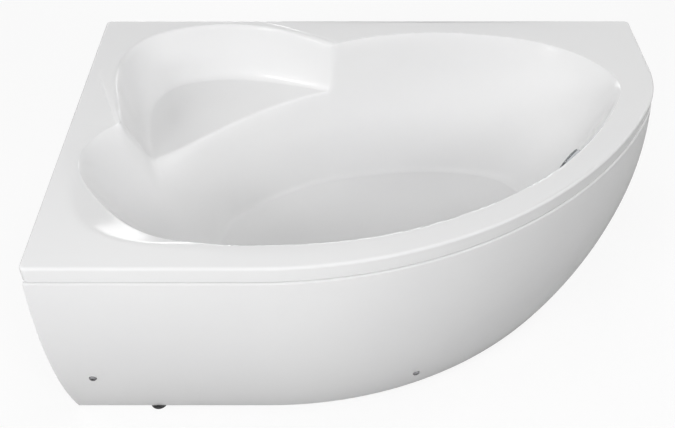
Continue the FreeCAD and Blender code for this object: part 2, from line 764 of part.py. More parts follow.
def seat_post_plate():
    half = POST_PLATE_WIDTH / 2
    x = CROSS_PLACE_SHARES["left"] * LENGTH
    bottom = SEAT_UNDERSIDE - SEAT_BOARD_THICK - POST_PLATE
    low = V(x - SEAT_BOARD_LAP, POST_PLACE_SHARE * WIDTH - half, bottom)
    return Part.makeBox(POST_PLATE_WIDTH, POST_PLATE_WIDTH, POST_PLATE, low)


# Levelling feet

def foot_pad(place):
    """Round moulded pad with a neck that holds the end of the stud."""
    base = cylinder(place, UP, FOOT_RADIUS, FOOT_HEIGHT)
    base = base.makeFillet(FOOT_ROUND, level_edges(base, FOOT_HEIGHT))
    neck = cylinder(place + UP * FOOT_HEIGHT, UP, FOOT_NECK_RADIUS, FOOT_NECK_HEIGHT)
    bottom = FOOT_HEIGHT + FOOT_NECK_HEIGHT - STUD_SOCKET
    return joined([base, neck]).cut(cylinder(place + UP * bottom, UP, STUD_RADIUS, STUD_SOCKET))


def foot_stud(place):
    """Threaded rod: rings stand for the thread below the nut, the rest is plain."""
    bottom = FOOT_HEIGHT + FOOT_NECK_HEIGHT - STUD_SOCKET
    length = CROSS_BOTTOM + BEAM + STUD_PROUD - bottom
    stud = cylinder(place + UP * bottom, UP, STUD_RADIUS, length)
    first = FOOT_HEIGHT + FOOT_NECK_HEIGHT + STUD_PITCH
    last = CROSS_BOTTOM - FOOT_NUT_HEIGHT - STUD_PITCH
    for k in range(int((last - first) / STUD_PITCH)):
        base = place + UP * (first + k * STUD_PITCH)
        groove = ring(base, UP, STUD_RADIUS + STUD_GROOVE, STUD_RADIUS - STUD_GROOVE, STUD_PITCH / 2)
        stud = stud.cut(groove)
    return stud


def foot_nuts():
    """Nuts welded under the cross beams, in which the studs turn."""
    nuts = []
    for place in feet():
        base = place + UP * (CROSS_BOTTOM - FOOT_NUT_HEIGHT)
        hole = cylinder(base, UP, STUD_RADIUS + STUD_CLEARANCE, FOOT_NUT_HEIGHT)
        nuts.append(hexagon(base, FOOT_NUT_WIDTH, FOOT_NUT_HEIGHT).cut(hole))
    return Part.Compound(nuts)


# Waste, plug and trap

def drain_point():
    """Middle of the waste on the basin floor."""
    return V(DRAIN_PLACE_SHARES[0] * LENGTH, DRAIN_PLACE_SHARES[1] * WIDTH, FLOOR_LEVEL)


def drain_flange():
    """Chrome ring on the floor with a neck, and a spoked hub that guides the plug's stem."""
    place = drain_point()
    disc = cylinder(place, UP, FLANGE_RADIUS, FLANGE_THICK)
    disc = disc.makeFillet(FLANGE_ROUND, level_edges(disc, FLOOR_LEVEL + FLANGE_THICK))
    low = place - UP * NECK_LENGTH
    neck = cylinder(low, UP, NECK_RADIUS, NECK_LENGTH)
    bore = cylinder(low, UP, NECK_RADIUS - NECK_WALL, NECK_LENGTH + FLANGE_THICK)
    parts = [joined([disc, neck]).cut(bore), cylinder(low, UP, HUB_RADIUS, HUB_HEIGHT)]
    half = SPOKE_WIDTH / 2
    reach = NECK_RADIUS - NECK_WALL / 2
    parts.append(box(low + V(-reach, -half, 0), low + V(reach, half, HUB_HEIGHT)))
    parts.append(box(low + V(-half, -reach, 0), low + V(half, reach, HUB_HEIGHT)))
    return joined(parts).cut(cylinder(low, UP, STEM_RADIUS + STEM_CLEARANCE, HUB_HEIGHT))


def drain_gasket():
    base = drain_point()
    base.z = UNDERSIDE - GASKET_THICK
    return ring(base, UP, GASKET_RADIUS, NECK_RADIUS, GASKET_THICK)


def port_direction():
    """Level direction from the waste towards the foot of the hose."""
    drain, hose = drain_point(), hose_top()
    way = V(hose.x - drain.x, hose.y - drain.y, 0)
    way.normalize()
    return way


def port_level():
    return UNDERSIDE - GASKET_THICK - PORT_DROP


def drain_body():
    """Moulded cup clamped under the floor, with a side port for the hose and a tail pipe below."""
    top = drain_point()
    top.z = UNDERSIDE - GASKET_THICK
    base = top - UP * BODY_DEPTH
    axis = V(top.x, top.y, port_level())
    way = port_direction()
    outside = joined([
        cylinder(base, UP, BODY_RADIUS, BODY_DEPTH),
        cylinder(axis, way, PORT_RADIUS, PORT_REACH),
        cylinder(base - UP * TAIL_LENGTH, UP, TAIL_RADIUS, TAIL_LENGTH),
    ])
    inside = cylinder(base + UP * BODY_WALL, UP, BODY_RADIUS - BODY_WALL, BODY_DEPTH)
    body = outside.cut(inside).cut(cylinder(axis, way, PORT_RADIUS - PORT_WALL, PORT_REACH))
    bore = cylinder(base - UP * TAIL_LENGTH, UP, TAIL_RADIUS - TAIL_WALL, TAIL_LENGTH + 2 * BODY_WALL)
    return body.cut(bore)


def plug_base():
    """Underside of the plug's cap, just above the flange."""
    return drain_point() + UP * (FLANGE_THICK + SEAT_GAP)


def plug_cap():
    """Low chrome dome that closes the waste, on a sphere through its rim and its top."""
    base = plug_base()
    disc = cylinder(base, UP, PLUG_RADIUS, PLUG_THICK)
    radius = (PLUG_RADIUS ** 2 + PLUG_DOME ** 2) / (2 * PLUG_DOME)
    top = base + UP * PLUG_THICK
    sphere = Part.makeSphere(radius, top + UP * (PLUG_DOME - radius))
    dome = sphere.common(cylinder(top, UP, PLUG_RADIUS, PLUG_DOME))
    return joined([disc, dome])


def plug_seal():
    base = plug_base() - UP * PLUG_SEAL_THICK
    return ring(base, UP, PLUG_SEAL_RADIUS, STEM_RADIUS, PLUG_SEAL_THICK)


def plug_stem():
    return cylinder(plug_base() - UP * STEM_LENGTH, UP, STEM_RADIUS, STEM_LENGTH)


def tail_end():
    """Lower end of the drain body's tail pipe."""
    end = drain_point()
    end.z = UNDERSIDE - GASKET_THICK - BODY_DEPTH - TAIL_LENGTH
    return end


def trap_top():
    return tail_end().z + TAIL_LENGTH - TRAP_NUT_HEIGHT


def outlet_level():
    return trap_top() - OUTLET_DROP


def trap_body():
    """Low cup that keeps a water seal round the tail pipe, with a side outlet to the rear."""
    axis = tail_end()
    axis.z = TRAP_FLOOR_GAP
    height = trap_top() - TRAP_FLOOR_GAP
    outlet = V(axis.x, axis.y, outlet_level())
    rear = V(0, 1, 0)
    outside = joined([
        cylinder(axis, UP, TRAP_RADIUS, height),
        cylinder(outlet, rear, OUTLET_RADIUS + OUTLET_WALL, TRAP_RADIUS + SOCKET_LENGTH),
    ])
    inside = cylinder(axis + UP * TRAP_WALL, UP, TRAP_RADIUS - TRAP_WALL, height - 2 * TRAP_WALL)
    body = outside.cut(inside).cut(cylinder(outlet, rear, OUTLET_RADIUS, TRAP_RADIUS + SOCKET_LENGTH))
    return body.cut(cylinder(axis + UP * TRAP_WALL, UP, TAIL_RADIUS, height))


def trap_nut():
    base = tail_end()
    base.z = trap_top()
    return ring(base, UP, TRAP_NUT_RADIUS, TAIL_RADIUS, TRAP_NUT_HEIGHT - BODY_WALL)


def outlet_start():
    """Mouth of the trap's outlet socket."""
    start = tail_end()
    start.z = outlet_level()
    start.y += TRAP_RADIUS + SOCKET_LENGTH
    return start


def outlet_nut():
    base = outlet_start() - V(0, OUTLET_NUT_LENGTH / 2, 0)
    rear = V(0, 1, 0)
    nut = ring(base, rear, OUTLET_NUT_RADIUS, OUTLET_RADIUS + OUTLET_WALL, OUTLET_NUT_LENGTH / 2)
    collar = ring(outlet_start(), rear, OUTLET_NUT_RADIUS, OUTLET_RADIUS, OUTLET_NUT_LENGTH / 2)
    return joined([nut, collar])


def outlet_pipe():
    """Pipe to the rear that ends in a bell socket for the next pipe."""
    rear = V(0, 1, 0)
    start = outlet_start() - rear * SOCKET_LENGTH
    length = OUTLET_END_SHARE * WIDTH - start.y
    bell = start + rear * (length - BELL_LENGTH)
    inside = OUTLET_RADIUS + BELL_CLEARANCE
    outside = joined([
        cylinder(start, rear, OUTLET_RADIUS, length - BELL_LENGTH),
        cylinder(bell - rear * OUTLET_WALL, rear, inside + OUTLET_WALL, BELL_LENGTH + OUTLET_WALL),
    ])
    bore = cylinder(start, rear, OUTLET_RADIUS - OUTLET_WALL, length)
    return outside.cut(bore).cut(cylinder(bell, rear, inside, BELL_LENGTH))


# Overflow

def overflow_axis():
    return wall_place(OVERFLOW_TURN_SHARE, OVERFLOW_DROP)


def overflow_rosette(shell):
    """Chrome cup on the wall with a slotted lower edge and a spider that guides the knob's spindle."""
    place, normal = overflow_axis()
    base = place - normal * WALL / 2
    depth = ROSETTE_THICK + WALL / 2
    cup = ring(base, normal, ROSETTE_RADIUS, ROSETTE_RADIUS - ROSETTE_WALL, depth)
    cup = max(cup.cut(shell).Solids, key=lambda s: s.Volume)
    rim = place + normal * (ROSETTE_THICK - SPIDER_THICK)
    inner = ROSETTE_RADIUS - ROSETTE_WALL / 2
    hub = cylinder(rim, normal, SPINDLE_RADIUS + SPIDER_THICK, SPIDER_THICK)
    half = SPIDER_THICK
    arm = box(V(-inner, -half, 0), V(inner, half, SPIDER_THICK))
    arm = arm.fuse(box(V(-half, -inner, 0), V(half, inner, SPIDER_THICK)))
    arm.Placement = FreeCAD.Placement(rim, FreeCAD.Rotation(UP, normal))
    rosette = joined([cup, hub, arm])
    rosette = rosette.cut(cylinder(rim, normal, SPINDLE_RADIUS + SPINDLE_CLEARANCE, SPIDER_THICK))
    low = place - UP * ROSETTE_RADIUS
    slot = cylinder(low - normal * ROSETTE_THICK, normal, ROSETTE_SLOT, 2 * ROSETTE_THICK - SPIDER_THICK)
    return rosette.cut(slot)


def overflow_knob():
    """Turning chrome cap with finger scallops and a spindle that reaches into the housing."""
    place, normal = overflow_axis()
    base = place + normal * (ROSETTE_THICK + SEAT_GAP)
    cap = Part.makeCylinder(KNOB_RADIUS, KNOB_THICK)
    cap = cap.makeFillet(KNOB_ROUND, level_edges(cap, KNOB_THICK))
    for k in range(KNOB_GRIPS):
        angle = 2 * math.pi * k / KNOB_GRIPS
        middle = V(math.cos(angle), math.sin(angle), 0) * (KNOB_RADIUS + KNOB_GRIP_RADIUS - KNOB_ROUND)
        cap = cap.cut(Part.makeCylinder(KNOB_GRIP_RADIUS, KNOB_THICK, middle))
    cap.Placement = FreeCAD.Placement(base, FreeCAD.Rotation(UP, normal))
    reach = HOUSING_DEPTH / 2 + WALL + ROSETTE_THICK
    spindle = cylinder(base - normal * reach, normal, SPINDLE_RADIUS, reach)
    return joined([cap, spindle])


def overflow_gasket(shell):
    """Rubber ring squeezed between the wall's outside and the housing."""
    place, normal = overflow_axis()
    base = place - normal * (WALL + OVERFLOW_GASKET_THICK)
    body = ring(base, normal, OVERFLOW_GASKET_RADIUS, OVERFLOW_BORE, OVERFLOW_GASKET_THICK + WALL / 2)
    pieces = body.cut(shell).Solids
    return max(pieces, key=lambda s: s.Volume)


def housing_middle():
    """Middle of the overflow housing, behind the wall."""
    place, normal = overflow_axis()
    return place - normal * (WALL + OVERFLOW_GASKET_THICK + HOUSING_DEPTH / 2)


def hose_top():
    """Where the hose hangs from the overflow's elbow."""
    return housing_middle() - UP * ELBOW_LENGTH


def overflow_body():
    """Moulded housing behind the wall with an elbow that points down."""
    place, normal = overflow_axis()
    front = place - normal * (WALL + OVERFLOW_GASKET_THICK)
    middle = housing_middle()
    outside = joined([
        cylinder(front, normal * -1, HOUSING_RADIUS, HOUSING_DEPTH),
        cylinder(hose_top(), UP, HOSE_RADIUS, ELBOW_LENGTH),
    ])
    inside = cylinder(front, normal * -1, HOUSING_RADIUS - HOUSING_WALL, HOUSING_DEPTH - HOUSING_WALL)
    return outside.cut(inside).cut(cylinder(hose_top(), UP, HOSE_BORE_RADIUS, (middle - hose_top()).Length))


def hose_path():
    """Corner points of the hose: down from the elbow, one bend, level into the waste's port."""
    top, way = hose_top(), port_direction()
    corner = V(top.x, top.y, port_level())
    end = drain_point()
    end.z = port_level()
    return top, corner, end + way * PORT_REACH


def hose_sample(distance):
    """Point and direction of the hose at a distance along it."""
    top, corner, end = hose_path()
    way = port_direction() * -1
    drop = top.z - corner.z - HOSE_BEND
    turn = HOSE_BEND * math.pi / 2
    if distance <= drop:
        return top - UP * distance, UP * -1
    if distance <= drop + turn:
        angle = (distance - drop) / HOSE_BEND
        middle = corner + UP * HOSE_BEND + way * HOSE_BEND
        spoke = way * -math.cos(angle) - UP * math.sin(angle)
        return middle + spoke * HOSE_BEND, way * math.sin(angle) - UP * math.cos(angle)
    return corner + way * (HOSE_BEND + distance - drop - turn), way


def hose_length():
    top, corner, end = hose_path()
    return top.z - corner.z + (end - corner).Length - 2 * HOSE_BEND + HOSE_BEND * math.pi / 2


def hose_circle(distance, radius):
    point, along = hose_sample(distance)
    side = port_direction().cross(UP)
    circle = Part.Circle(point, along, radius)
    circle.XAxis = side
    return Part.Wire(circle.toShape())


def overflow_hose():
    """Ribbed hose: straight facets between root and crest circles, with plain cuffs and a plain bore."""
    total = hose_length()
    cuff = 2 * HOSE_RADIUS
    ribs = int((total - 2 * cuff) / HOSE_PITCH)
    start = (total - ribs * HOSE_PITCH) / 2
    radii = (HOSE_ROOT_RADIUS, HOSE_RADIUS, HOSE_RADIUS, HOSE_ROOT_RADIUS)
    circles = [hose_circle(0, HOSE_ROOT_RADIUS)]
    for k in range(ribs):
        for share, radius in zip(HOSE_RIB_SHARES, radii):
            circles.append(hose_circle(start + (k + share) * HOSE_PITCH, radius))
    circles.append(hose_circle(total, HOSE_ROOT_RADIUS))
    outside = Part.makeLoft(circles, True, True)
    top, corner, end = hose_path()
    return outside.cut(bent_tube(top, corner, end, HOSE_BEND, HOSE_BORE_RADIUS))


def bent_tube(start, corner, end, bend, radius):
    """Round rod along two straight runs at right angles, joined by an arc."""
    first, second = corner - start, end - corner
    first.normalize()
    second.normalize()
    before, after = corner - first * bend, corner + second * bend
    middle = corner + (second - first) * bend * (1 - math.sqrt(0.5))
    arc = Part.Arc(before, middle, after).toShape()
    path = [Part.makeLine(start, before), arc, Part.makeLine(after, end)]
    section = Part.Wire(Part.Circle(start, first, radius).toShape())
    return Part.Wire(path).makePipeShell([section], True, False)


def hose_nuts():
    """Ring nuts that clamp the hose to the elbow and to the waste's port."""
    top, corner, end = hose_path()
    way = port_direction()
    half = HOSE_NUT_LENGTH / 2
    upper = joined([
        ring(top, UP, HOSE_NUT_RADIUS, HOSE_RADIUS, half),
        ring(top - UP * half, UP, HOSE_NUT_RADIUS, HOSE_ROOT_RADIUS, half),
    ])
    lower = joined([
        ring(end - way * half, way, HOSE_NUT_RADIUS, PORT_RADIUS, half),
        ring(end, way, HOSE_NUT_RADIUS, HOSE_ROOT_RADIUS, half),
    ])
    return Part.Compound([upper, lower])


def control_cable(housing, body):
    """Sheathed cable beside the hose, from the overflow housing down to the plug's lifter."""
    way = port_direction()
    aside = way.cross(UP) * CABLE_ASIDE
    start = housing_middle() + aside
    level = port_level() - CABLE_DROP
    corner = V(start.x, start.y, level)
    end = drain_point() + aside
    end.z = level
    cable = bent_tube(start, corner, end, CABLE_BEND, CABLE_RADIUS)
    pieces = cable.cut(housing).cut(body).Solids
    return max(pieces, key=lambda s: s.Volume)


# Assembly

def build():
    shell = tub_shell()
    housing, body = overflow_body(), drain_body()
    pieces = {
        "tub_shell": shell,
        "front_panel": front_panel(),
        "panel_strap_left": panel_strap("left"),
        "panel_strap_right": panel_strap("right"),
        "panel_clips": panel_clips(),
        "panel_cups": panel_cups(),
        "panel_screws": panel_screws(),
        "panel_nuts": panel_nuts(),
        "base_board": base_board(),
        "seat_board": seat_board(),
        "seat_post": seat_post(),
        "seat_post_plate": seat_post_plate(),
        "beam_end_caps": beam_end_caps(),
        "frame_bolts": frame_bolts(),
        "board_screws": board_screws(),
        "foot_nuts": foot_nuts(),
        "drain_flange": drain_flange(),
        "drain_gasket": drain_gasket(),
        "drain_body": body,
        "plug_cap": plug_cap(),
        "plug_seal": plug_seal(),
        "plug_stem": plug_stem(),
        "trap_body": trap_body(),
        "trap_nut": trap_nut(),
        "outlet_nut": outlet_nut(),
        "outlet_pipe": outlet_pipe(),
        "overflow_rosette": overflow_rosette(shell),
        "overflow_knob": overflow_knob(),
        "overflow_gasket": overflow_gasket(shell),
        "overflow_body": housing,
        "overflow_hose": overflow_hose(),
        "hose_nuts": hose_nuts(),
        "control_cable": control_cable(housing, body),
    }
    for side in CROSS_PLACE_SHARES:
        pieces["cross_beam_" + side] = cross_beam(side)
    for name in LONG_PLACE_SHARES:
        pieces["long_beam_" + name] = long_beam(name)
    for number, place in enumerate(feet(), 1):
        pieces["foot_pad_%d" % number] = foot_pad(place)
        pieces["foot_stud_%d" % number] = foot_stud(place)
    return pieces


os.makedirs("parts", exist_ok=True)
for node, shape in build().items():
    shape.translate(ORIGIN * -1)
    shape.exportStep("parts/%s.step" % node)
    solids = shape.Solids
    print("%-18s solids %2d valid %s volume %.0f" % (node, len(solids), shape.isValid(), shape.Volume))
point, normal = overflow_axis()
print("overflow at", point - ORIGIN, "facing", normal)
print("waste at", drain_point() - ORIGIN, "outlet at", outlet_start() - ORIGIN)
print("hose length %.0f" % hose_length())
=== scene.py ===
"""Looks of the corner bathtub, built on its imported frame, in metres and in the frame's own axes."""
import json
import math

import bmesh
import bpy
import numpy as np
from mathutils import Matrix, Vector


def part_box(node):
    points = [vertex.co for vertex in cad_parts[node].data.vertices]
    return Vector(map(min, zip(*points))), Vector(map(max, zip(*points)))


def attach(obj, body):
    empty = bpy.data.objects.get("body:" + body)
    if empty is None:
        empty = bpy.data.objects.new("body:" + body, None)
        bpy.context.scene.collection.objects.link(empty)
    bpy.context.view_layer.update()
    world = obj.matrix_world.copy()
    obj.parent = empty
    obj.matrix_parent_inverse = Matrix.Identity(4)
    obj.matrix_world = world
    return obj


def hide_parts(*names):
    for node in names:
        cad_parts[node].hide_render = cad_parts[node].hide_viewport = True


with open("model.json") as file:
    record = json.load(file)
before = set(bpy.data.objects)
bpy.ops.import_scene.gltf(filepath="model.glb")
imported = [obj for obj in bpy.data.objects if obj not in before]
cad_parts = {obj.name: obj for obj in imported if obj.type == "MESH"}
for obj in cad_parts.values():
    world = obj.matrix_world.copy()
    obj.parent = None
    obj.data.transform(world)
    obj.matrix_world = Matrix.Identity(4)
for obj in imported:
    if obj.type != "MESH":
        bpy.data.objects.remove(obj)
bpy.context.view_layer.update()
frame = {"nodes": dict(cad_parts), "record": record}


# Tub shell: one sheet of white sanitary acrylic, heated and drawn down over a mould, so every edge
# is rounded. It is trimmed to a skirt round the rim, and glass fibre is rolled on behind it.
shell_low, shell_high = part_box("tub_shell")
LENGTH = shell_high.x - shell_low.x
WIDTH = shell_high.y - shell_low.y
RIM_TOP = shell_high.z
WALL = 0.006
SKIRT = 0.040
RIM_ROUND = 0.007
RIM_CORNER = 0.014
LIP_ROUND = 0.002
BASIN_FLOOR = shell_low.z + WALL
SEAT_FLOOR = RIM_TOP - 0.145
WASTE_HOLE = 0.026
FLOOR_ROUND = 0.040
SEAT_ROUND = 0.030
SEAT_EDGE_SPAN_SHARES = (0.12, 0.45)
SEAT_EDGE_EASE = (0.090, 0.014)
SEAT_CREASE_EASE = (0.008, 0.060)
SEAT_CREASE_FADE = (4.0, 0.7)
RIM_EDGE_TURNS = (-180, -172, -164, -130, -60, -20, 3, 35, 90, 150, 170)
RIM_EDGE_ROUNDS = (0.045, 0.030, 0.012, 0.012, 0.014, 0.026, 0.026, 0.042, 0.026, 0.030, 0.045)
HEADREST_TURN = -149.5
HEADREST_SPREAD = 22.0
HEADREST_REACH = 0.066
HEADREST_SLOPE = 0.31
HEADREST_EASE = 0.004
HEADREST_EDGE_ROUND = 0.012
SEAT_RIM_EASE = 0.016
SEAT_RIM_BLEND = 0.060
LEAST_EASE = 1e-6
LEAST_TURNING = 1e-5
FACE_ROWS = 110
BACK_ROWS = 28
FRONT_STRAIGHT_SHARE = 0.327
RIGHT_STRAIGHT_SHARE = 0.246
CORNER_RADIUS_SHARE = 0.36
FRONT_SLOPE_SHARES = (0.971, 2.703)
BASIN_RIM_SHARES = [
    (0.033, 0.365), (0.058, 0.262), (0.120, 0.161), (0.205, 0.095), (0.340, 0.075), (0.493, 0.103),
    (0.640, 0.186), (0.768, 0.312), (0.860, 0.457), (0.919, 0.600), (0.937, 0.690), (0.921, 0.767),
    (0.850, 0.878), (0.728, 0.938), (0.600, 0.950), (0.480, 0.916), (0.301, 0.789), (0.139, 0.583),
    (0.059, 0.487),
]
BASIN_FLOOR_SHARES = [
    (0.211, 0.440), (0.225, 0.345), (0.267, 0.270), (0.333, 0.225), (0.413, 0.205), (0.507, 0.215),
    (0.603, 0.265), (0.690, 0.360), (0.757, 0.470), (0.803, 0.590), (0.815, 0.660), (0.803, 0.722),
    (0.757, 0.790), (0.683, 0.818), (0.587, 0.826), (0.460, 0.800), (0.340, 0.725), (0.235, 0.600),
    (0.217, 0.520),
]
SEAT_RIM_SHARES = [
    (0.333, 0.520), (0.440, 0.640), (0.487, 0.780), (0.460, 0.868), (0.397, 0.918), (0.313, 0.960),
    (0.233, 0.976), (0.153, 0.956), (0.087, 0.900), (0.057, 0.815), (0.053, 0.720), (0.069, 0.604),
    (0.100, 0.470), (0.200, 0.430),
]
SEAT_FLOOR_SHARES = [
    (0.333, 0.530), (0.433, 0.645), (0.473, 0.770), (0.453, 0.835), (0.400, 0.875), (0.310, 0.912),
    (0.240, 0.924), (0.180, 0.915), (0.125, 0.880), (0.095, 0.805), (0.092, 0.715), (0.107, 0.592),
    (0.143, 0.470), (0.220, 0.445),
]
BASIN_MIDDLE_SHARE = (0.50, 0.50)
SEAT_MIDDLE_SHARE = (0.27, 0.70)


def on_plan(shares):
    """Places in plan from shares of the tub's length and width, counted from its front left corner."""
    return np.array([shell_low.x, shell_low.y]) + np.asarray(shares) * [LENGTH, WIDTH]


def closed_curve(points, spacing_points, count=900):
    """Smooth closed curve through points.

    Between two points each coordinate is a cubic of the distance along the spacing points. The second
    slopes at the points come from one set of equations that keeps slope and bend the same on both sides.
    """
    n = len(points)
    step = np.linalg.norm(np.roll(spacing_points, -1, 0) - spacing_points, axis=1)
    before = np.roll(step, 1)
    rise = (np.roll(points, -1, 0) - points) / step[:, None]
    k = np.arange(n)
    system = np.zeros((n, n))
    system[k, k - 1] = before
    system[k, k] = 2 * (before + step)
    system[k, (k + 1) % n] = step
    bend = np.linalg.solve(system, 6 * (rise - np.roll(rise, 1, 0)))
    start = np.concatenate([[0], np.cumsum(step)])
    along = np.linspace(0, start[-1], count, endpoint=False)
    span = np.searchsorted(start, along, side="right") - 1
    after = (span + 1) % n
    reach = step[span][:, None]
    b = (along - start[span])[:, None] / reach
    a = 1 - b
    curve = a * points[span] + b * points[after]
    return curve + ((a ** 3 - a) * bend[span] + (b ** 3 - b) * bend[after]) * reach ** 2 / 6


def lower_of(a, b, ease):
    """The lower of two heights, with a parabola across the corner where they differ by less than ease."""
    return np.minimum(a, b) - np.clip(ease - np.abs(a - b), 0, None) ** 2 / (4 * ease)


def hollow(xy, middle, rim, floor, floor_level, rounding):
    """Height of a hollow at places in plan, with its wall's steepness, the ray's turn and the way in.

    Along every ray from the hollow's middle the floor runs level to the floor's outline, and from there
    a straight wall climbs to the rim's outline and on past it. The corner between them is rounded.
    """
    away = xy - middle
    turn = np.arctan2(away[..., 1], away[..., 0])
    reach = [np.hypot(*(outline - middle).T) for outline in (rim, floor)]
    turns = [np.arctan2(*(outline - middle).T[::-1]) for outline in (rim, floor)]
    far = np.interp(turn, turns[0], reach[0], period=2 * np.pi)
    near = np.interp(turn, turns[1], reach[1], period=2 * np.pi)
    slope = (RIM_TOP - floor_level) / (far - near)
    inside = far - np.hypot(away[..., 0], away[..., 1])
    wall = RIM_TOP - inside * slope
    ease = rounding * slope ** 2 / (2 * np.sqrt(1 + slope ** 2))
    return -lower_of(-wall, np.full_like(wall, -floor_level), ease), slope, np.degrees(turn), inside


basin_rim = closed_curve(on_plan(BASIN_RIM_SHARES), on_plan(BASIN_RIM_SHARES))
basin_floor = closed_curve(on_plan(BASIN_FLOOR_SHARES), on_plan(BASIN_RIM_SHARES))
seat_rim = closed_curve(on_plan(SEAT_RIM_SHARES), on_plan(SEAT_RIM_SHARES))
seat_floor = closed_curve(on_plan(SEAT_FLOOR_SHARES), on_plan(SEAT_RIM_SHARES))


def shell_height(xy):
    """Height of the acrylic's face at places in plan.

    It is the lower of the basin and the seat hollow, and then the lower of that and the rim. The edge
    between basin and seat is softer at the left near the seat's floor and softer at the right near the rim,
    and goes from one to the other with a power of the height. The rim's edge is rounded by a table of
    turns. At the front left, where the bather's head leans, a flat headrest comes in between: it starts
    outside the basin's rim by a reach that swells and fades as a squared cosine of the turn, and falls
    towards the basin at a steady slope.
    """
    basin, slope, turn, inside = hollow(
        xy, on_plan(BASIN_MIDDLE_SHARE), basin_rim, basin_floor, BASIN_FLOOR, FLOOR_ROUND)
    seat = hollow(xy, on_plan(SEAT_MIDDLE_SHARE), seat_rim, seat_floor, SEAT_FLOOR, SEAT_ROUND)[0]
    swell = np.cos(np.pi / 2 * np.clip((turn - HEADREST_TURN) / HEADREST_SPREAD, -1, 1)) ** 2
    headrest = RIM_TOP - HEADREST_SLOPE * (inside + HEADREST_REACH * swell)
    edge_factor = slope ** 2 / (2 * np.sqrt(1 + slope ** 2))
    basin = lower_of(basin, headrest, HEADREST_EDGE_ROUND * edge_factor * swell + LEAST_EASE)
    x_share = (xy[..., 0] - shell_low.x) / LENGTH
    above_seat = np.clip((np.minimum(basin, seat) - SEAT_FLOOR) / (RIM_TOP - SEAT_FLOOR), 0, 1)
    low_ease, high_ease, fade = (
        np.interp(x_share, SEAT_EDGE_SPAN_SHARES, ends)
        for ends in (SEAT_EDGE_EASE, SEAT_CREASE_EASE, SEAT_CREASE_FADE))
    edge_ease = low_ease + (high_ease - low_ease) * above_seat ** fade
    dip = lower_of(basin, seat, edge_ease)
    basin_ease = np.interp(turn, RIM_EDGE_TURNS, RIM_EDGE_ROUNDS, period=360) * edge_factor
    basin_ease = basin_ease + (HEADREST_EASE - basin_ease) * np.clip(2 * swell, 0, 1)
    at_seat = np.clip(0.5 + (basin - seat) / SEAT_RIM_BLEND, 0, 1)
    rim_ease = basin_ease * (1 - at_seat) + SEAT_RIM_EASE * at_seat
    return lower_of(dip, np.full_like(dip, RIM_TOP), rim_ease)


def shell_slope(xy, step=0.0003):
    """How fast the face climbs along x and along y, from heights a small step to either side."""
    climbs = [shell_height(xy + d) - shell_height(xy - d) for d in np.eye(2) * step]
    return np.stack(climbs, -1) / (2 * step)


def straight(start, end, count):
    """Places along a straight edge and the way it faces, for an edge walked with the tub on its left."""
    start, end = np.array(start), np.array(end)
    way = (end - start) / np.linalg.norm(end - start)
    places = start + np.linspace(0, 1, count, endpoint=False)[:, None] * (end - start)
    return places, np.tile([way[1], -way[0]], (count, 1))


def bend(centre, radius, first, last, count):
    """Places along an arc and the way that it faces; the angle is 0 at the front and grows to the right."""
    angle = np.linspace(first, last, count, endpoint=False)
    facing = np.stack([np.sin(angle), -np.cos(angle)], 1)
    return np.array(centre) + radius * facing, facing


def front_edge(start):
    """The front edge from start to the right edge: a straight, then three arcs that meet smoothly.

    The last arc's radius is given, and the other two follow from the slopes where the arcs meet, because
    together they have to reach the right edge where its own straight part begins.
    """
    low = np.array([shell_low.x, shell_low.y])
    flat, side = FRONT_STRAIGHT_SHARE * LENGTH, RIGHT_STRAIGHT_SHARE * WIDTH
    corner = CORNER_RADIUS_SHARE * WIDTH
    turns = [0] + [math.atan(share * WIDTH / LENGTH) for share in FRONT_SLOPE_SHARES] + [math.pi / 2]
    sines, cosines = np.sin(turns), np.cos(turns)
    across = LENGTH - flat - corner * (1 - sines[2])
    back = WIDTH - side - corner * cosines[2]
    legs = np.array([[sines[1], sines[2] - sines[1]], [1 - cosines[1], cosines[1] - cosines[2]]])
    radii = [*np.linalg.solve(legs, [across, back]), corner]
    runs = [straight(low + [start, 0], low + [flat, 0], 70)]
    centre = low + [flat, radii[0]]
    for k, count in enumerate((48, 132, 26)):
        if k:
            centre = centre + (radii[k - 1] - radii[k]) * np.array([sines[k], -cosines[k]])
        runs.append(bend(centre, radii[k], turns[k], turns[k + 1], count))
    return runs


def rim_edge():
    """The rim's outline in plan and the way that each place faces, once round from the front left."""
    low = np.array([shell_low.x, shell_low.y])
    high = np.array([shell_high.x, shell_high.y])
    c = RIM_CORNER
    right, rear = high
    left, front = low
    runs = front_edge(c)
    runs.append(straight((right, rear - RIGHT_STRAIGHT_SHARE * WIDTH), (right, rear - c), 34))
    runs.append(bend((right - c, rear - c), c, math.pi / 2, math.pi, 9))
    runs.append(straight((right - c, rear), (left + c, rear), 180))
    runs.append(bend((left + c, rear - c), c, math.pi, 1.5 * math.pi, 9))
    runs.append(straight((left, rear - c), (left, front + c), 110))
    runs.append(bend((left + c, front + c), c, 1.5 * math.pi, 2 * math.pi, 9))
    return [np.concatenate(part) for part in zip(*runs)]


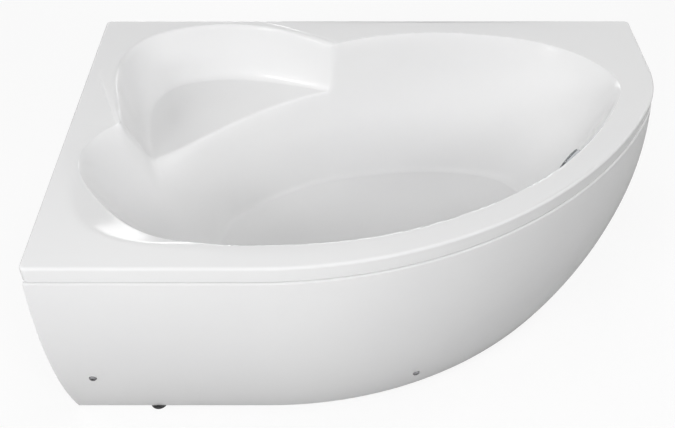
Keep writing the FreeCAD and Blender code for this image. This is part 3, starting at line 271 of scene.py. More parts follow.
def grid_piece(name, points, closed_across, closed_along, capped=False):
    """Mesh of quads between neighbours of a grid of points.

    A grid that is closed one way also joins its last line of points to its first. A capped one has its
    first and last rows each filled by a flat face.
    """
    rows, columns = points.shape[:2]
    index = np.arange(rows * columns).reshape(rows, columns)
    right, ahead = np.roll(index, -1, 1), np.roll(index, -1, 0)
    quads = np.stack([index, ahead, np.roll(ahead, -1, 1), right], -1)
    quads = quads[:rows if closed_along else rows - 1, :columns if closed_across else columns - 1]
    corners = quads.ravel()
    starts = np.arange(0, corners.size, 4)
    if capped:
        starts = np.append(starts, [corners.size, corners.size + columns])
        corners = np.concatenate([corners, index[0], index[-1, ::-1]])
    mesh = bpy.data.meshes.new(name)
    mesh.vertices.add(rows * columns)
    mesh.vertices.foreach_set("co", points.astype(np.float32).ravel())
    mesh.loops.add(corners.size)
    mesh.loops.foreach_set("vertex_index", corners.astype(np.int32))
    mesh.polygons.add(starts.size)
    mesh.polygons.foreach_set("loop_start", starts.astype(np.int32))
    mesh.update(calc_edges=True)
    mesh.validate()
    mesh.shade_smooth()
    piece = bpy.data.objects.new(name, mesh)
    bpy.context.scene.collection.objects.link(piece)
    return piece


def spread_rows(start, end, rows):
    """Places along straight rays from start to end, closer together where the face bends.

    Each ray is first walked in many small steps. A place's rank is three fifths the share of the face's
    length walked so far and two fifths the share of its turning, and the rows lie at even ranks.
    """
    fine = 1000
    share = np.linspace(0, 1, fine)
    xy = start[:, None] + share[None, :, None] * (end - start)[:, None]
    drop = np.diff(shell_height(xy), axis=1)
    run = np.linalg.norm(end - start, axis=1)[:, None] / (fine - 1)
    turning = np.abs(np.diff(np.arctan2(drop, run), axis=1, append=0)) + LEAST_TURNING
    turning[:, -1] = LEAST_TURNING
    length = np.hypot(drop, run)
    rank = 0.6 * length / length.sum(1, keepdims=True) + 0.4 * turning / turning.sum(1, keepdims=True)
    rank = np.concatenate([np.zeros((len(start), 1)), np.cumsum(rank, 1)], 1)
    ray = 2 * np.arange(len(start))[:, None]
    wanted = ray + np.linspace(0, 1, rows)[None]
    spot = np.interp(wanted.ravel(), (ray + rank).ravel(), np.tile(share, len(start))).reshape(wanted.shape)
    return start[:, None] + spot[..., None] * (end - start)[:, None]


def with_level(xy, level):
    """Places in plan with a height, or one height for each column, as their third number."""
    return np.concatenate([xy, np.broadcast_to(level, xy.shape[:-1])[..., None]], -1)


rim_places, rim_facing = rim_edge()
waste_low, waste_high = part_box("drain_flange")
waste_middle = np.array([waste_low.x + waste_high.x, waste_low.y + waste_high.y]) / 2


def waste_ring(ends):
    """Start of each ray: where the line from the waste's middle to its end leaves the waste hole."""
    away = ends - waste_middle
    return waste_middle + WASTE_HOLE * away / np.linalg.norm(away, axis=1)[:, None]


face_end = rim_places - RIM_ROUND * rim_facing
face_xy = spread_rows(waste_ring(face_end), face_end, FACE_ROWS)
face = with_level(face_xy, shell_height(face_xy))
face_climb = shell_slope(face_xy)

arc = np.linspace(0, np.pi / 2, 7)[1:]
lip_arc = np.linspace(0, np.pi / 2, 4)
skirt_out = np.concatenate([
    RIM_ROUND * (np.sin(arc) - 1), [0, 0], LIP_ROUND * (np.cos(lip_arc) - 1),
    [LIP_ROUND - WALL, -WALL, -WALL],
])
skirt_level = RIM_TOP - np.concatenate([
    RIM_ROUND * (1 - np.cos(arc)), [SKIRT / 3, 2 * SKIRT / 3],
    SKIRT - LIP_ROUND * (1 - np.sin(lip_arc)), [SKIRT, SKIRT - LIP_ROUND, SKIRT / 2],
])
skirt_lean = np.concatenate([
    arc, [np.pi / 2] * 2, np.pi / 2 + lip_arc, [np.pi, 1.5 * np.pi, 1.5 * np.pi],
])
skirt = with_level(rim_places[:, None] + skirt_out[None, :, None] * rim_facing[:, None], skirt_level)

back_end = rim_places - WALL * rim_facing
back_xy = spread_rows(waste_ring(back_end), back_end, BACK_ROWS)[:, ::-1]
back_climb = shell_slope(back_xy)
thick = WALL * np.sqrt(1 + (back_climb ** 2).sum(-1))
back = with_level(back_xy, np.minimum(shell_height(back_xy), RIM_TOP) - thick)

shell_points = np.concatenate([face, skirt, back], 1)
tub = grid_piece("acrylic_shell", shell_points.swapaxes(0, 1), True, True)


def facing_of(climb, side):
    """Unit vector square to a face that climbs so along x and y; side is 1 for its top, -1 for its back."""
    facing = np.concatenate([-climb, np.ones(climb.shape[:-1] + (1,))], -1)
    return side * facing / np.linalg.norm(facing, axis=-1, keepdims=True)


skirt_facing = np.concatenate([
    np.sin(skirt_lean)[None, :, None] * rim_facing[:, None],
    np.broadcast_to(np.cos(skirt_lean)[None, :, None], skirt.shape[:2] + (1,)),
], -1)
shell_facing = np.concatenate([facing_of(face_climb, 1), skirt_facing, facing_of(back_climb, -1)], 1)
tub.data.normals_split_custom_set_from_vertices(shell_facing.swapaxes(0, 1).reshape(-1, 3))


def node_group(name, inputs, outputs):
    """Empty shader node group with the named number inputs, and outputs given as (name, socket kind)."""
    group = bpy.data.node_groups.new(name, "ShaderNodeTree")
    for label, value in inputs.items():
        socket = group.interface.new_socket(label, in_out="INPUT", socket_type="NodeSocketFloat")
        socket.default_value = value
    for label, kind in outputs:
        group.interface.new_socket(label, in_out="OUTPUT", socket_type=kind)
    return group, group.nodes.new("NodeGroupInput"), group.nodes.new("NodeGroupOutput")


def linked(tree, kind, sockets, **settings):
    """New node with its settings, each named socket fed by a value or by another node's output."""
    node = tree.nodes.new(kind)
    for key, value in settings.items():
        setattr(node, key, value)
    for key, value in sockets.items():
        if isinstance(value, bpy.types.NodeSocket):
            tree.links.new(value, node.inputs[key])
        else:
            node.inputs[key].default_value = value
    return node


def make_mottle():
    """Two sizes of soft cloud: Mask runs from 0 to 1 over large patches, Height is a fine ripple."""
    group, given, out = node_group("mottle", {"Patch Scale": 4.0, "Ripple Scale": 300.0}, [
        ("Mask", "NodeSocketFloat"), ("Height", "NodeSocketFloat")])
    place = group.nodes.new("ShaderNodeTexCoord").outputs["Object"]
    patch = linked(group, "ShaderNodeTexNoise", {
        "Vector": place, "Scale": given.outputs["Patch Scale"], "Detail": 3.0})
    mask = linked(group, "ShaderNodeMapRange", {
        "Value": patch.outputs["Fac"], "From Min": 0.3, "From Max": 0.7})
    fine = linked(group, "ShaderNodeTexNoise", {
        "Vector": place, "Scale": given.outputs["Ripple Scale"], "Detail": 2.0})
    group.links.new(mask.outputs["Result"], out.inputs["Mask"])
    group.links.new(fine.outputs["Fac"], out.inputs["Height"])
    return group


def make_scuffs():
    """Fine scratches: noise stretched along one direction, and another set across it, cut to thin lines."""
    group, given, out = node_group("scuffs", {"Scale": 60.0, "Amount": 0.5}, [("Mask", "NodeSocketFloat")])
    place = group.nodes.new("ShaderNodeTexCoord").outputs["Object"]
    masks = []
    for stretch, turn in (((1.0, 14.0, 6.0), 0.5), ((12.0, 1.0, 9.0), -0.8)):
        seen = linked(group, "ShaderNodeMapping", {
            "Vector": place, "Rotation": (0.3, 0.2, turn), "Scale": stretch})
        lines = linked(group, "ShaderNodeTexNoise", {
            "Vector": seen.outputs["Vector"], "Scale": given.outputs["Scale"]})
        masks.append(linked(group, "ShaderNodeMapRange", {
            "Value": lines.outputs["Fac"], "From Min": 0.62, "From Max": 0.72}).outputs["Result"])
    both = linked(group, "ShaderNodeMath", {0: masks[0], 1: masks[1]}, operation="MAXIMUM")
    shown = linked(group, "ShaderNodeMath", {
        0: both.outputs[0], 1: given.outputs["Amount"]}, operation="MULTIPLY")
    group.links.new(shown.outputs[0], out.inputs["Mask"])
    return group


def make_flecks():
    """Random cells, such as chips of wood or crystals of zinc: Mask has one random value in each cell."""
    group, given, out = node_group("flecks", {"Scale": 100.0}, [("Mask", "NodeSocketFloat")])
    place = group.nodes.new("ShaderNodeTexCoord").outputs["Object"]
    cells = linked(group, "ShaderNodeTexVoronoi", {"Vector": place, "Scale": given.outputs["Scale"]})
    value = linked(group, "ShaderNodeSeparateColor", {"Color": cells.outputs["Color"]})
    group.links.new(value.outputs["Red"], out.inputs["Mask"])
    return group


mottle = make_mottle()
scuffs = make_scuffs()
flecks = make_flecks()


def finish(name, colours, roughs, patch, ripple, bump, wear=0.0, cells=None, **sockets):
    """Principled material whose colour and roughness run between two values over the mottle's patches.

    Scuffs roughen it where they lie, the ripple bends its surface by bump, in metres, cells gives the scale
    and colour of its flecks, and every other socket is set as given.
    """
    material = bpy.data.materials.new(name)
    material.use_nodes = True
    tree = material.node_tree
    shader = tree.nodes["Principled BSDF"]
    cloud = linked(tree, "ShaderNodeGroup", {}, node_tree=mottle)
    cloud.inputs["Patch Scale"].default_value = patch
    cloud.inputs["Ripple Scale"].default_value = ripple
    marks = linked(tree, "ShaderNodeGroup", {}, node_tree=scuffs)
    marks.inputs["Amount"].default_value = wear
    tint = linked(tree, "ShaderNodeMix", {"Factor": cloud.outputs["Mask"]}, data_type="RGBA")
    tint.inputs["A"].default_value = (*colours[0], 1)
    tint.inputs["B"].default_value = (*colours[1], 1)
    if cells:
        chips = linked(tree, "ShaderNodeGroup", {}, node_tree=flecks)
        chips.inputs["Scale"].default_value = cells[0]
        tint = linked(tree, "ShaderNodeMix", {
            "Factor": chips.outputs["Mask"], "A": tint.outputs["Result"]}, data_type="RGBA")
        tint.inputs["B"].default_value = (*cells[1], 1)
    rough = linked(tree, "ShaderNodeMapRange", {
        "Value": cloud.outputs["Mask"], "To Min": roughs[0], "To Max": roughs[1]})
    worn = linked(tree, "ShaderNodeMath", {
        0: marks.outputs["Mask"], 1: rough.outputs["Result"]}, operation="ADD")
    worn.use_clamp = True
    relief = linked(tree, "ShaderNodeBump", {
        "Height": cloud.outputs["Height"], "Strength": 1.0, "Distance": bump})
    tree.links.new(tint.outputs["Result"], shader.inputs["Base Color"])
    tree.links.new(worn.outputs[0], shader.inputs["Roughness"])
    tree.links.new(relief.outputs["Normal"], shader.inputs["Normal"])
    for key, value in sockets.items():
        shader.inputs[key.replace("_", " ")].default_value = value
    return material


acrylic = finish(
    "white_acrylic", ((0.88, 0.88, 0.88), (0.855, 0.855, 0.86)), (0.15, 0.20), 2.2, 45.0, 0.00002,
    wear=0.03, Coat_Weight=0.25, Coat_Roughness=0.12)
glass_fibre = finish(
    "rolled_glass_fibre", ((0.62, 0.61, 0.56), (0.50, 0.49, 0.45)), (0.55, 0.75), 60.0, 420.0, 0.0006,
    wear=0.2, cells=(240.0, (0.56, 0.55, 0.50)))
tub.data.materials.append(acrylic)
tub.data.materials.append(glass_fibre)
ring = np.arange(shell_points.shape[1]).repeat(shell_points.shape[0])
tub.data.polygons.foreach_set("material_index", (ring >= FACE_ROWS + skirt.shape[1] - 1).astype(np.int32))
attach(tub, "tub")
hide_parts("tub_shell")


# Boards: chipboard laid in wet glass fibre under the basin's floor and under the seat, so that the thin
# acrylic doesn't give underfoot. The frame is screwed to the larger one.
chipboard = finish(
    "chipboard", ((0.50, 0.37, 0.22), (0.42, 0.30, 0.17)), (0.70, 0.90), 30.0, 420.0, 0.0005, wear=0.1,
    cells=(260.0, (0.33, 0.23, 0.13)))


def dress(material, *nodes):
    """Give CAD nodes a finish in place of the plain colour that they come with."""
    for node in nodes:
        slots = frame["nodes"][node].data.materials
        slots.clear()
        slots.append(material)


dress(chipboard, "base_board", "seat_board")


# Frame: square steel tubes under a grey powder coat, the long ones lying on the cross ones, with a post
# and a plate under the seat. Black plastic caps are pressed into the open ends.
powder_coat = finish(
    "grey_powder_coat", ((0.36, 0.37, 0.38), (0.31, 0.32, 0.33)), (0.42, 0.58), 8.0, 900.0, 0.00015,
    wear=0.08)
dress(powder_coat, "cross_beam_left", "cross_beam_middle", "cross_beam_right", "long_beam_front",
      "long_beam_centre", "long_beam_rear", "seat_post", "seat_post_plate")
black_plastic = finish(
    "black_moulded_plastic", ((0.020, 0.020, 0.021), (0.032, 0.032, 0.033)), (0.42, 0.58), 35.0, 900.0,
    0.00010, wear=0.10)
dress(black_plastic, "beam_end_caps")


# Fasteners of the frame: zinc plated hexagon bolts through both tubes, wood screws up into the board,
# and nuts welded under the cross tubes for the feet.
zinc_plate = finish(
    "zinc_plate", ((0.60, 0.61, 0.62), (0.52, 0.53, 0.55)), (0.26, 0.42), 45.0, 700.0, 0.00003, wear=0.15,
    cells=(420.0, (0.66, 0.67, 0.69)), Metallic=1.0)
dress(zinc_plate, "frame_bolts", "board_screws", "foot_nuts")


# Levelling feet: six black moulded pads, each on a zinc plated threaded stud that turns in the nut above
# it, so that the tub can be set level before the panel goes on.
feet = range(1, 7)
dress(black_plastic, *[f"foot_pad_{k}" for k in feet])
dress(zinc_plate, *[f"foot_stud_{k}" for k in feet])


# Waste: a chrome plated brass flange on a rubber gasket, clamped through the floor's hole to a moulded
# white body. The pop-up plug above it is a low chrome dome with a rubber seal, on a stem that lifts.
PLUG_DOME = 0.005
PLUG_EDGE_ROUND = 0.001
PLUG_SPOKES = 72
MERGE_REACH = 1e-7
TURNED_SHARP_DEG = 38
chrome = finish(
    "chrome_plate", ((0.56, 0.57, 0.59), (0.46, 0.47, 0.49)), (0.06, 0.12), 30.0, 260.0, 0.000008, wear=0.05,
    Metallic=1.0)
rubber = finish(
    "black_rubber", ((0.022, 0.022, 0.022), (0.038, 0.038, 0.038)), (0.65, 0.85), 50.0, 1100.0, 0.00010,
    wear=0.05)
white_moulding = finish(
    "white_moulded_plastic", ((0.74, 0.74, 0.72), (0.68, 0.68, 0.66)), (0.34, 0.48), 16.0, 800.0, 0.00006,
    wear=0.06)
dress(chrome, "drain_flange")
dress(rubber, "drain_gasket", "plug_seal")
dress(white_moulding, "drain_body")
dress(zinc_plate, "plug_stem")


def turned_piece(name, profile, base, axis, swell):
    """Surface of a profile turned about an axis, from its top middle round to its bottom middle.

    The place at a profile point (radius, height) and a turn is base + height along the axis + radius times
    swell of that turn in the direction of the turn. The points at either middle are merged into one.
    """
    axis = np.array(axis) / np.linalg.norm(axis)
    side = np.cross((0.0, 0.0, 1.0) if abs(axis[2]) < 0.9 else (1.0, 0.0, 0.0), axis)
    side /= np.linalg.norm(side)
    turn = np.linspace(0, 2 * np.pi, len(swell), endpoint=False)
    spoke = (np.cos(turn)[:, None] * side + np.sin(turn)[:, None] * np.cross(axis, side)) * swell[:, None]
    radius, height = np.array(profile).T
    points = np.array(base) + height[:, None, None] * axis + radius[:, None, None] * spoke
    piece = grid_piece(name, points, True, False)
    work = bmesh.new()
    work.from_mesh(piece.data)
    bmesh.ops.remove_doubles(work, verts=work.verts, dist=MERGE_REACH)
    work.to_mesh(piece.data)
    work.free()
    piece.data.shade_smooth()
    piece.data.set_sharp_from_angle(angle=math.radians(TURNED_SHARP_DEG))
    return piece


def rounded(radius, height, rounding, count=6):
    """Quarter circle at the outer top edge of a turned profile, as (radius, height) points going down."""
    lean = np.linspace(0, np.pi / 2, count)
    return np.stack([radius - rounding * (1 - np.sin(lean)), height - rounding * (1 - np.cos(lean))], 1)


plug_low, plug_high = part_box("plug_cap")
plug_radius = (plug_high.x - plug_low.x) / 2
plug_height = plug_high.z - plug_low.z
plug_place = np.array([plug_low.x + plug_radius, plug_low.y + plug_radius, plug_low.z])
sphere = (plug_radius ** 2 + PLUG_DOME ** 2) / (2 * PLUG_DOME)
dome_radius = np.linspace(0, plug_radius - PLUG_EDGE_ROUND, 14)
dome_height = plug_height - sphere + np.sqrt(sphere ** 2 - dome_radius ** 2)
plug_profile = np.concatenate([
    np.stack([dome_radius, dome_height], 1),
    rounded(plug_radius, dome_height[-1], PLUG_EDGE_ROUND)[1:],
    [[plug_radius, 0.0], [0.0, 0.0]],
])
plug = turned_piece("waste_plug", plug_profile, plug_place, (0, 0, 1), np.ones(PLUG_SPOKES))
plug.data.materials.append(chrome)
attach(plug, "plug")
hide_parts("plug_cap")


# Trap and outlet: white moulded fittings under the waste, held by ring nuts. The outlet pipe runs back
# under the tub to a bell socket, into which the drain of the house is pushed.
dress(white_moulding, "trap_body", "trap_nut", "outlet_nut", "outlet_pipe")


# Overflow: a moulded housing behind the wall, sealed by a rubber ring. A ribbed hose drops from its elbow
# and bends level into the waste, under a ring nut at either end.
HOSE_RADIUS = 0.0175
HOSE_ROOT_RADIUS = 0.0155
HOSE_BORE_RADIUS = 0.0135
HOSE_PITCH = 0.007
HOSE_RIB_STEEPNESS = 0.8
HOSE_CUFF = 0.035
HOSE_STEPS = 560
HOSE_SIDES = 32
HOSE_BORE_STRIDE = 8
PORT_REACH = 0.062
TUBE_SHARP_DEG = 60
dress(rubber, "overflow_gasket")
dress(white_moulding, "overflow_body", "hose_nuts")
hose_plastic = finish(
    "grey_hose_plastic", ((0.46, 0.47, 0.48), (0.40, 0.41, 0.42)), (0.38, 0.52), 20.0, 700.0, 0.00005,
    wear=0.05)


def spline_route(points, count):
    """Even steps along the smooth spline that has the points as its control points, and the way it runs."""
    curve = bpy.data.curves.new("route", "CURVE")
    curve.dimensions = "3D"
    curve.resolution_u = 32
    spline = curve.splines.new("NURBS")
    spline.points.add(len(points) - 1)
    spline.points.foreach_set("co", np.column_stack([points, np.ones(len(points))]).ravel())
    spline.order_u = 3
    spline.use_endpoint_u = True
    holder = bpy.data.objects.new("route", curve)
    mesh = bpy.data.meshes.new_from_object(holder)
    line = np.empty(3 * len(mesh.vertices))
    mesh.vertices.foreach_get("co", line)
    line = line.reshape(-1, 3)
    bpy.data.objects.remove(holder)
    bpy.data.curves.remove(curve)
    bpy.data.meshes.remove(mesh)
    walked = np.concatenate([[0], np.cumsum(np.linalg.norm(np.diff(line, axis=0), axis=1))])
    even = np.linspace(0, walked[-1], count)
    places = np.stack([np.interp(even, walked, line[:, k]) for k in range(3)], 1)
    way = np.gradient(places, axis=0)
    return even, places, way / np.linalg.norm(way, axis=1, keepdims=True)


def tube_points(places, way, radius, side, count):
    """Circles of the given radius at each place, square to the way; side lies level across the bend."""
    turn = np.linspace(0, 2 * np.pi, count, endpoint=False)[None, :, None]
    ring = np.cos(turn) * side + np.sin(turn) * np.cross(side, way)[:, None]
    return places[:, None] + radius[:, None, None] * ring


hose_low, hose_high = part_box("overflow_hose")
hose_top = np.array([hose_high.x - HOSE_RADIUS, hose_low.y + HOSE_RADIUS, hose_high.z])
port_level = hose_low.z + HOSE_RADIUS
hose_way = np.append(waste_middle - hose_top[:2], 0)
hose_way /= np.linalg.norm(hose_way)
hose_corner = np.array([*hose_top[:2], port_level])
hose_end = np.append(waste_middle, port_level) - PORT_REACH * hose_way
last_run = np.linalg.norm(hose_end - hose_corner)
hose_side = np.cross(hose_way, (0, 0, 1))
walked, places, way = spline_route(
    np.array([hose_top, hose_corner + [0, 0, last_run], hose_corner, hose_end]), HOSE_STEPS)
rib_wave = np.cos(2 * np.pi * (walked - HOSE_CUFF) / HOSE_PITCH)
rib = np.clip(0.5 - HOSE_RIB_STEEPNESS * rib_wave, 0, 1)
rib *= (walked > HOSE_CUFF) & (walked < walked[-1] - HOSE_CUFF)
hose_radius = HOSE_ROOT_RADIUS + (HOSE_RADIUS - HOSE_ROOT_RADIUS) * rib
hose_outside = tube_points(places, way, hose_radius, hose_side, HOSE_SIDES)
back_places = places[::-HOSE_BORE_STRIDE]
bore_radius = np.full(len(back_places), HOSE_BORE_RADIUS)
hose_bore = tube_points(back_places, way[::-HOSE_BORE_STRIDE], bore_radius, hose_side, HOSE_SIDES)
hose = grid_piece("ribbed_hose", np.concatenate([hose_outside, hose_bore]), True, True)
hose.data.set_sharp_from_angle(angle=math.radians(TUBE_SHARP_DEG))
hose.data.materials.append(hose_plastic)
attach(hose, "tub")
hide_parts("overflow_hose")


# Control cable: a steel core in a black plastic sheath, beside the hose from the overflow's housing to the
# waste's body. Turning the knob draws the core, which lifts the plug.
CABLE_RADIUS = 0.003
CABLE_ASIDE = 0.030
CABLE_DROP = 0.022
CABLE_SWEEP = 0.187
CABLE_STEPS = 120
CABLE_SIDES = 12
ELBOW_LENGTH = 0.048
cable_sheath = finish(
    "black_cable_sheath", ((0.030, 0.030, 0.032), (0.045, 0.045, 0.047)), (0.40, 0.55), 60.0, 900.0, 0.00006,
    wear=0.06)
cable_top = hose_top + [0, 0, ELBOW_LENGTH] + CABLE_ASIDE * hose_side
cable_corner = np.array([*cable_top[:2], port_level - CABLE_DROP])
cable_end = np.append(waste_middle, cable_corner[2]) + CABLE_ASIDE * hose_side
walked, places, way = spline_route(np.array([
    cable_top, cable_corner + [0, 0, CABLE_SWEEP], cable_corner, cable_corner + CABLE_SWEEP * hose_way,
    cable_end,
]), CABLE_STEPS)
cable_radius = np.full(len(places), CABLE_RADIUS)
cable_points = tube_points(places, way, cable_radius, hose_side, CABLE_SIDES)
cable = grid_piece("plug_cable", cable_points, True, False, capped=True)
cable.data.set_sharp_from_angle(angle=math.radians(TUBE_SHARP_DEG))
cable.data.materials.append(cable_sheath)
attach(cable, "tub")
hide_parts("control_cable")


# Overflow's front: a chrome cup against the wall with a slot below, and the turning knob over it, a flat
# chrome cap with twelve finger scallops, on a spindle that reaches into the housing. The knob's chrome is
# painted darker than the cup's, as a painted reflection of the dark surroundings it mirrors.
KNOB_STANDOFF = 0.0073
KNOB_RADIUS = 0.033
KNOB_THICK = 0.006
KNOB_ROUND = 0.002
KNOB_GRIPS = 12
KNOB_GRIP_STEPS = 20
KNOB_GRIP_RADIUS = 0.005
KNOB_DISH = 0.0008
SPINDLE_RADIUS = 0.004
SPINDLE_REACH = 0.030
# Painted reflection: the knob's chrome colour is darkened to stand in for the dark reflections on it.
knob_chrome_painted_dark = finish(
    "chrome_plate_painted_dark_reflection", ((0.26, 0.27, 0.28), (0.15, 0.155, 0.16)), (0.10, 0.18), 60.0, 400.0, 0.00001,
    wear=0.08, Metallic=1.0)
dress(chrome, "overflow_rosette")
knob_joint = next(j for j in frame["record"]["behaviour"]["joints"] if j["name"] == "knob_turn")
knob_axis = np.array(knob_joint["axis"])
grip_turn = np.linspace(0, 2 * np.pi, KNOB_GRIP_STEPS * KNOB_GRIPS, endpoint=False)
grip_turn = (grip_turn * KNOB_GRIPS / (2 * np.pi) + 0.5) % 1 - 0.5
grip_turn *= 2 * np.pi / KNOB_GRIPS
grip_place = KNOB_RADIUS + KNOB_GRIP_RADIUS - KNOB_ROUND
bite = np.clip(KNOB_GRIP_RADIUS ** 2 - (grip_place * np.sin(grip_turn)) ** 2, 0, None)
grip_edge = np.where(bite > 0, grip_place * np.cos(grip_turn) - np.sqrt(bite), KNOB_RADIUS)
knob_swell = np.minimum(grip_edge, KNOB_RADIUS) / KNOB_RADIUS
face_radius = np.linspace(0, KNOB_RADIUS - KNOB_ROUND, 10)
face_height = KNOB_THICK - KNOB_DISH * (1 - (face_radius / face_radius[-1]) ** 2)
knob_profile = np.concatenate([
    np.stack([face_radius, face_height], 1), rounded(KNOB_RADIUS, KNOB_THICK, KNOB_ROUND)[1:],
    [[KNOB_RADIUS, 0.0], [SPINDLE_RADIUS, 0.0], [SPINDLE_RADIUS, -SPINDLE_REACH], [0.0, -SPINDLE_REACH]],
])
knob_place = np.array(knob_joint["pos_m"]) + KNOB_STANDOFF * knob_axis
knob = turned_piece("overflow_turning_knob", knob_profile, knob_place, knob_axis, knob_swell)
knob.data.materials.append(knob_chrome_painted_dark)
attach(knob, "knob")
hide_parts("overflow_knob")


# Panel fixings: two zinc plated steel straps that hang from the rim down to the panel's screws, with a nut
# for each screw, and four bent clips behind the skirt that carry the panel's top flange.
dress(zinc_plate, "panel_strap_left", "panel_strap_right", "panel_clips", "panel_nuts")


# Front panel: one sheet of white acrylic, bowed a little in height, with a rounded top that turns in under
# the skirt. Its colour is painted a shade darker than the tub's, as painted shade for the lesser light on
# the panel. It hangs on the clips and is held by two screws low down.
PANEL_THICK = 0.004
PANEL_BOW_RADIUS = 1.025
PANEL_CREST_DROP = 0.160
PANEL_TOP_GAP = 0.002
PANEL_TOP_ROUND = 0.005
PANEL_END_GAP = 0.002
# Painted shade: the tub's acrylic colour, painted a shade darker for the lesser light that falls on the
# panel.
panel_acrylic = finish(
    "panel_acrylic", ((0.855, 0.855, 0.855), (0.83, 0.83, 0.835)), (0.16, 0.22), 2.2, 45.0, 0.00002,
    wear=0.03, Coat_Weight=0.25, Coat_Roughness=0.12)
panel_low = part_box("front_panel")[0]
panel_crest = shell_low.y - panel_low.y
crest_level = RIM_TOP - PANEL_CREST_DROP
panel_top = RIM_TOP - SKIRT - PANEL_TOP_GAP
half = PANEL_THICK / 2


def panel_profile():
    """Outside of the sheet's section, walked once round, as distances out, heights and leans.

    Its middle line follows a circle of the bow's radius less half the thickness, then a quarter round, then
    runs level under the skirt. Lean is the angle of its outer face above level. The outside lies half a
    thickness to either side of the middle line, with a half circle round each of its ends.
    """
    radius = PANEL_BOW_RADIUS - half
    middle_out = panel_crest - PANEL_BOW_RADIUS
    levels = np.linspace(panel_low.z + half, panel_top - PANEL_TOP_ROUND, 40)
    face_lean = np.arcsin((levels - crest_level) / radius)
    top_lean = np.linspace(face_lean[-1], np.pi / 2, 9)[1:]
    corner = PANEL_TOP_ROUND - half
    top_out = middle_out + radius * np.cos(face_lean[-1]) - corner * np.cos(face_lean[-1])
    top_level = panel_top - PANEL_TOP_ROUND
    flange_out = np.linspace(top_out, half - WALL, 4)[1:]
    flange = np.ones_like(flange_out)
    out = np.concatenate([
        middle_out + radius * np.cos(face_lean), top_out + corner * np.cos(top_lean), flange_out])
    level = np.concatenate([levels, top_level + corner * np.sin(top_lean), flange * (top_level + corner)])
    lean = np.concatenate([face_lean, top_lean, flange * np.pi / 2])
    end_turn = np.linspace(0, np.pi, 7)[1:-1]
    end = np.ones_like(end_turn)
    all_out = np.concatenate([out, end * out[-1], out[::-1], end * out[0]])
    all_level = np.concatenate([level, end * level[-1], level[::-1], end * level[0]])
    all_lean = np.concatenate([lean, lean[-1] + end_turn, lean[::-1] + np.pi, lean[0] + np.pi + end_turn])
    return all_out + half * np.cos(all_lean), all_level + half * np.sin(all_lean), all_lean


panel_out, panel_level, panel_lean = panel_profile()
panel_runs = front_edge(PANEL_END_GAP)
panel_end = np.array([[shell_high.x, shell_high.y - RIGHT_STRAIGHT_SHARE * WIDTH]])
panel_runs.append((panel_end, np.array([[1.0, 0.0]])))
panel_places, panel_facing = [np.concatenate(part) for part in zip(*panel_runs)]
panel_xy = panel_places[:, None] + panel_out[None, :, None] * panel_facing[:, None]
panel_points = with_level(panel_xy, panel_level)
panel_normals = with_level(np.cos(panel_lean)[None, :, None] * panel_facing[:, None], np.sin(panel_lean))
panel = grid_piece("bowed_front_panel", panel_points, True, False, capped=True)
panel.data.normals_split_custom_set_from_vertices(panel_normals.reshape(-1, 3))
panel.data.materials.append(panel_acrylic)
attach(panel, "tub")
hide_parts("front_panel")


# Panel screws: two cross head screws in dished steel washers on the panel's face, the screws painted near
# black as painted shade of their cross recesses. They pass through the panel and its straps into nuts
# behind.
cup_steel = finish(
    "brushed_cup_steel", ((0.33, 0.33, 0.34), (0.24, 0.24, 0.25)), (0.18, 0.30), 300.0, 1500.0, 0.00002,
    wear=0.1, Metallic=1.0)
# Painted shade: the screws' metal is painted near black for the shade in their cross recesses.
screw_plate_painted_shade = finish(
    "screw_plate_painted_recess_shade", ((0.13, 0.13, 0.14), (0.08, 0.08, 0.085)), (0.25, 0.40), 300.0, 1500.0, 0.00002,
    wear=0.1, Metallic=1.0)
dress(cup_steel, "panel_cups")
dress(screw_plate_painted_shade, "panel_screws")


# Studio: a pale floor, a white surround and soft lamps all round, most of them in front, as in a catalogue
# picture. Only the two bulbs and the rear lamp show in reflections. The camera stands in front and above,
# where the photograph was taken.
CAMERA_PLACE = (shell_low.x + 0.66313, shell_low.y - 1.31848, 1.9387)
CAMERA_DOWN_DEG = 42.181
CAMERA_LENS = 48.58
CAMERA_SENSOR = 36.0
LAMP_AIM = (0.0, 0.0, 0.4)
FLOOR_REACH = 6.0
FLOOR_GREY = 0.60
FLOOR_GLOW = 1.13
FLOOR_GLOW_SHARE = 0.75
SURROUND_LIGHT = 0.05

floor_line = np.linspace(-FLOOR_REACH, FLOOR_REACH, 3)
floor_points = np.stack(np.meshgrid(floor_line, floor_line, [0.0]), -1).reshape(3, 3, 3)
floor = grid_piece("studio_floor", floor_points, False, False)
floor_paint = bpy.data.materials.new("studio_floor_white")
floor_paint.use_nodes = True
tree = floor_paint.node_tree
path = tree.nodes.new("ShaderNodeLightPath")
lit = linked(tree, "ShaderNodeBsdfDiffuse", {"Color": (FLOOR_GREY, FLOOR_GREY, FLOOR_GREY, 1)})
glow = linked(tree, "ShaderNodeEmission", {"Color": (1, 1, 1, 1), "Strength": FLOOR_GLOW})
share = linked(tree, "ShaderNodeMath", {
    0: path.outputs["Is Camera Ray"], 1: FLOOR_GLOW_SHARE}, operation="MULTIPLY")
mixed = linked(tree, "ShaderNodeMixShader", {0: share.outputs[0], 1: lit.outputs[0], 2: glow.outputs[0]})
tree.links.new(mixed.outputs[0], tree.nodes["Material Output"].inputs["Surface"])
floor.data.materials.append(floor_paint)

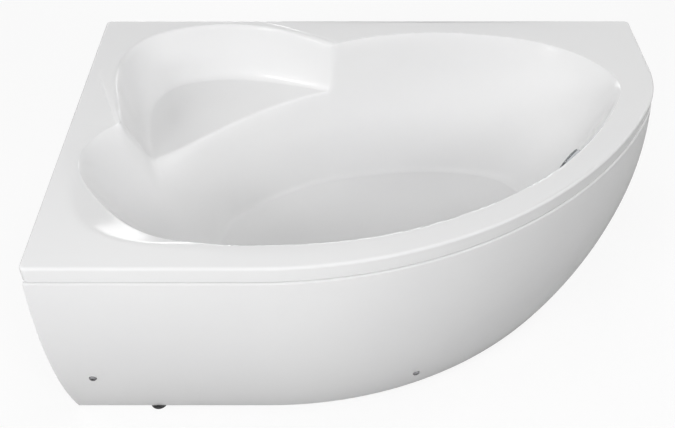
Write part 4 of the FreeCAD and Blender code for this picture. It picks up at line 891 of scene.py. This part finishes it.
world = bpy.data.worlds.new("studio_surround")
bpy.context.scene.world = world
world.use_nodes = True
tree = world.node_tree
path = tree.nodes.new("ShaderNodeLightPath")
seen = linked(tree, "ShaderNodeMath", {
    0: path.outputs["Is Camera Ray"], 1: path.outputs["Is Glossy Ray"]}, operation="MAXIMUM")
seen = linked(tree, "ShaderNodeMath", {
    0: seen.outputs[0], 1: path.outputs["Is Transmission Ray"]}, operation="MAXIMUM")
strength = linked(tree, "ShaderNodeMapRange", {
    "Value": seen.outputs[0], "To Min": SURROUND_LIGHT, "To Max": 1.0})
tree.links.new(strength.outputs["Result"], tree.nodes["Background"].inputs["Strength"])
tree.nodes["Background"].inputs["Color"].default_value = (1, 1, 1, 1)

for name, place, wide, high, power, shines in (
        ("front_left_lamp", (-2.0, -2.5, 1.8), 1.2, 1.2, 35.0, False),
        ("front_left_bulb", (-2.0, -2.4, 2.3), 0.3, 0.3, 4.0, True),
        ("front_right_lamp", (1.4, -2.8, 2.0), 1.0, 1.0, 23.0, False),
        ("front_right_bulb", (2.4, -1.8, 2.3), 0.3, 0.3, 3.0, True),
        ("camera_lamp", (-0.1, -2.6, 2.4), 1.2, 1.2, 26.0, False),
        ("top_lamp", (0.0, 0.3, 3.2), 1.6, 1.6, 17.0, False),
        ("left_lamp", (-2.8, 0.3, 1.8), 1.2, 1.2, 17.0, False),
        ("right_lamp", (2.55, 1.0, 1.85), 1.2, 1.2, 23.0, False),
        ("rear_lamp", (-0.4, 2.8, 1.05), 3.0, 0.9, 20.0, True)):
    lamp = bpy.data.lights.new(name, "AREA")
    lamp.shape = "RECTANGLE"
    lamp.size = wide
    lamp.size_y = high
    lamp.energy = power
    holder = bpy.data.objects.new(name, lamp)
    bpy.context.scene.collection.objects.link(holder)
    holder.location = place
    look = np.array(LAMP_AIM) - np.array(place)
    tilt = math.atan2(math.hypot(look[0], look[1]), -look[2])
    holder.rotation_euler = (tilt, 0, math.atan2(-look[0], look[1]))
    holder.visible_glossy = shines

camera = bpy.data.cameras.new("photo_camera")
camera.lens = CAMERA_LENS
camera.sensor_width = CAMERA_SENSOR
viewer = bpy.data.objects.new("photo_camera", camera)
viewer.location = CAMERA_PLACE
viewer.rotation_euler = (math.radians(90 - CAMERA_DOWN_DEG), 0, 0)
bpy.context.scene.collection.objects.link(viewer)
bpy.context.scene.camera = viewer
bpy.context.scene.view_settings.view_transform = "Standard"
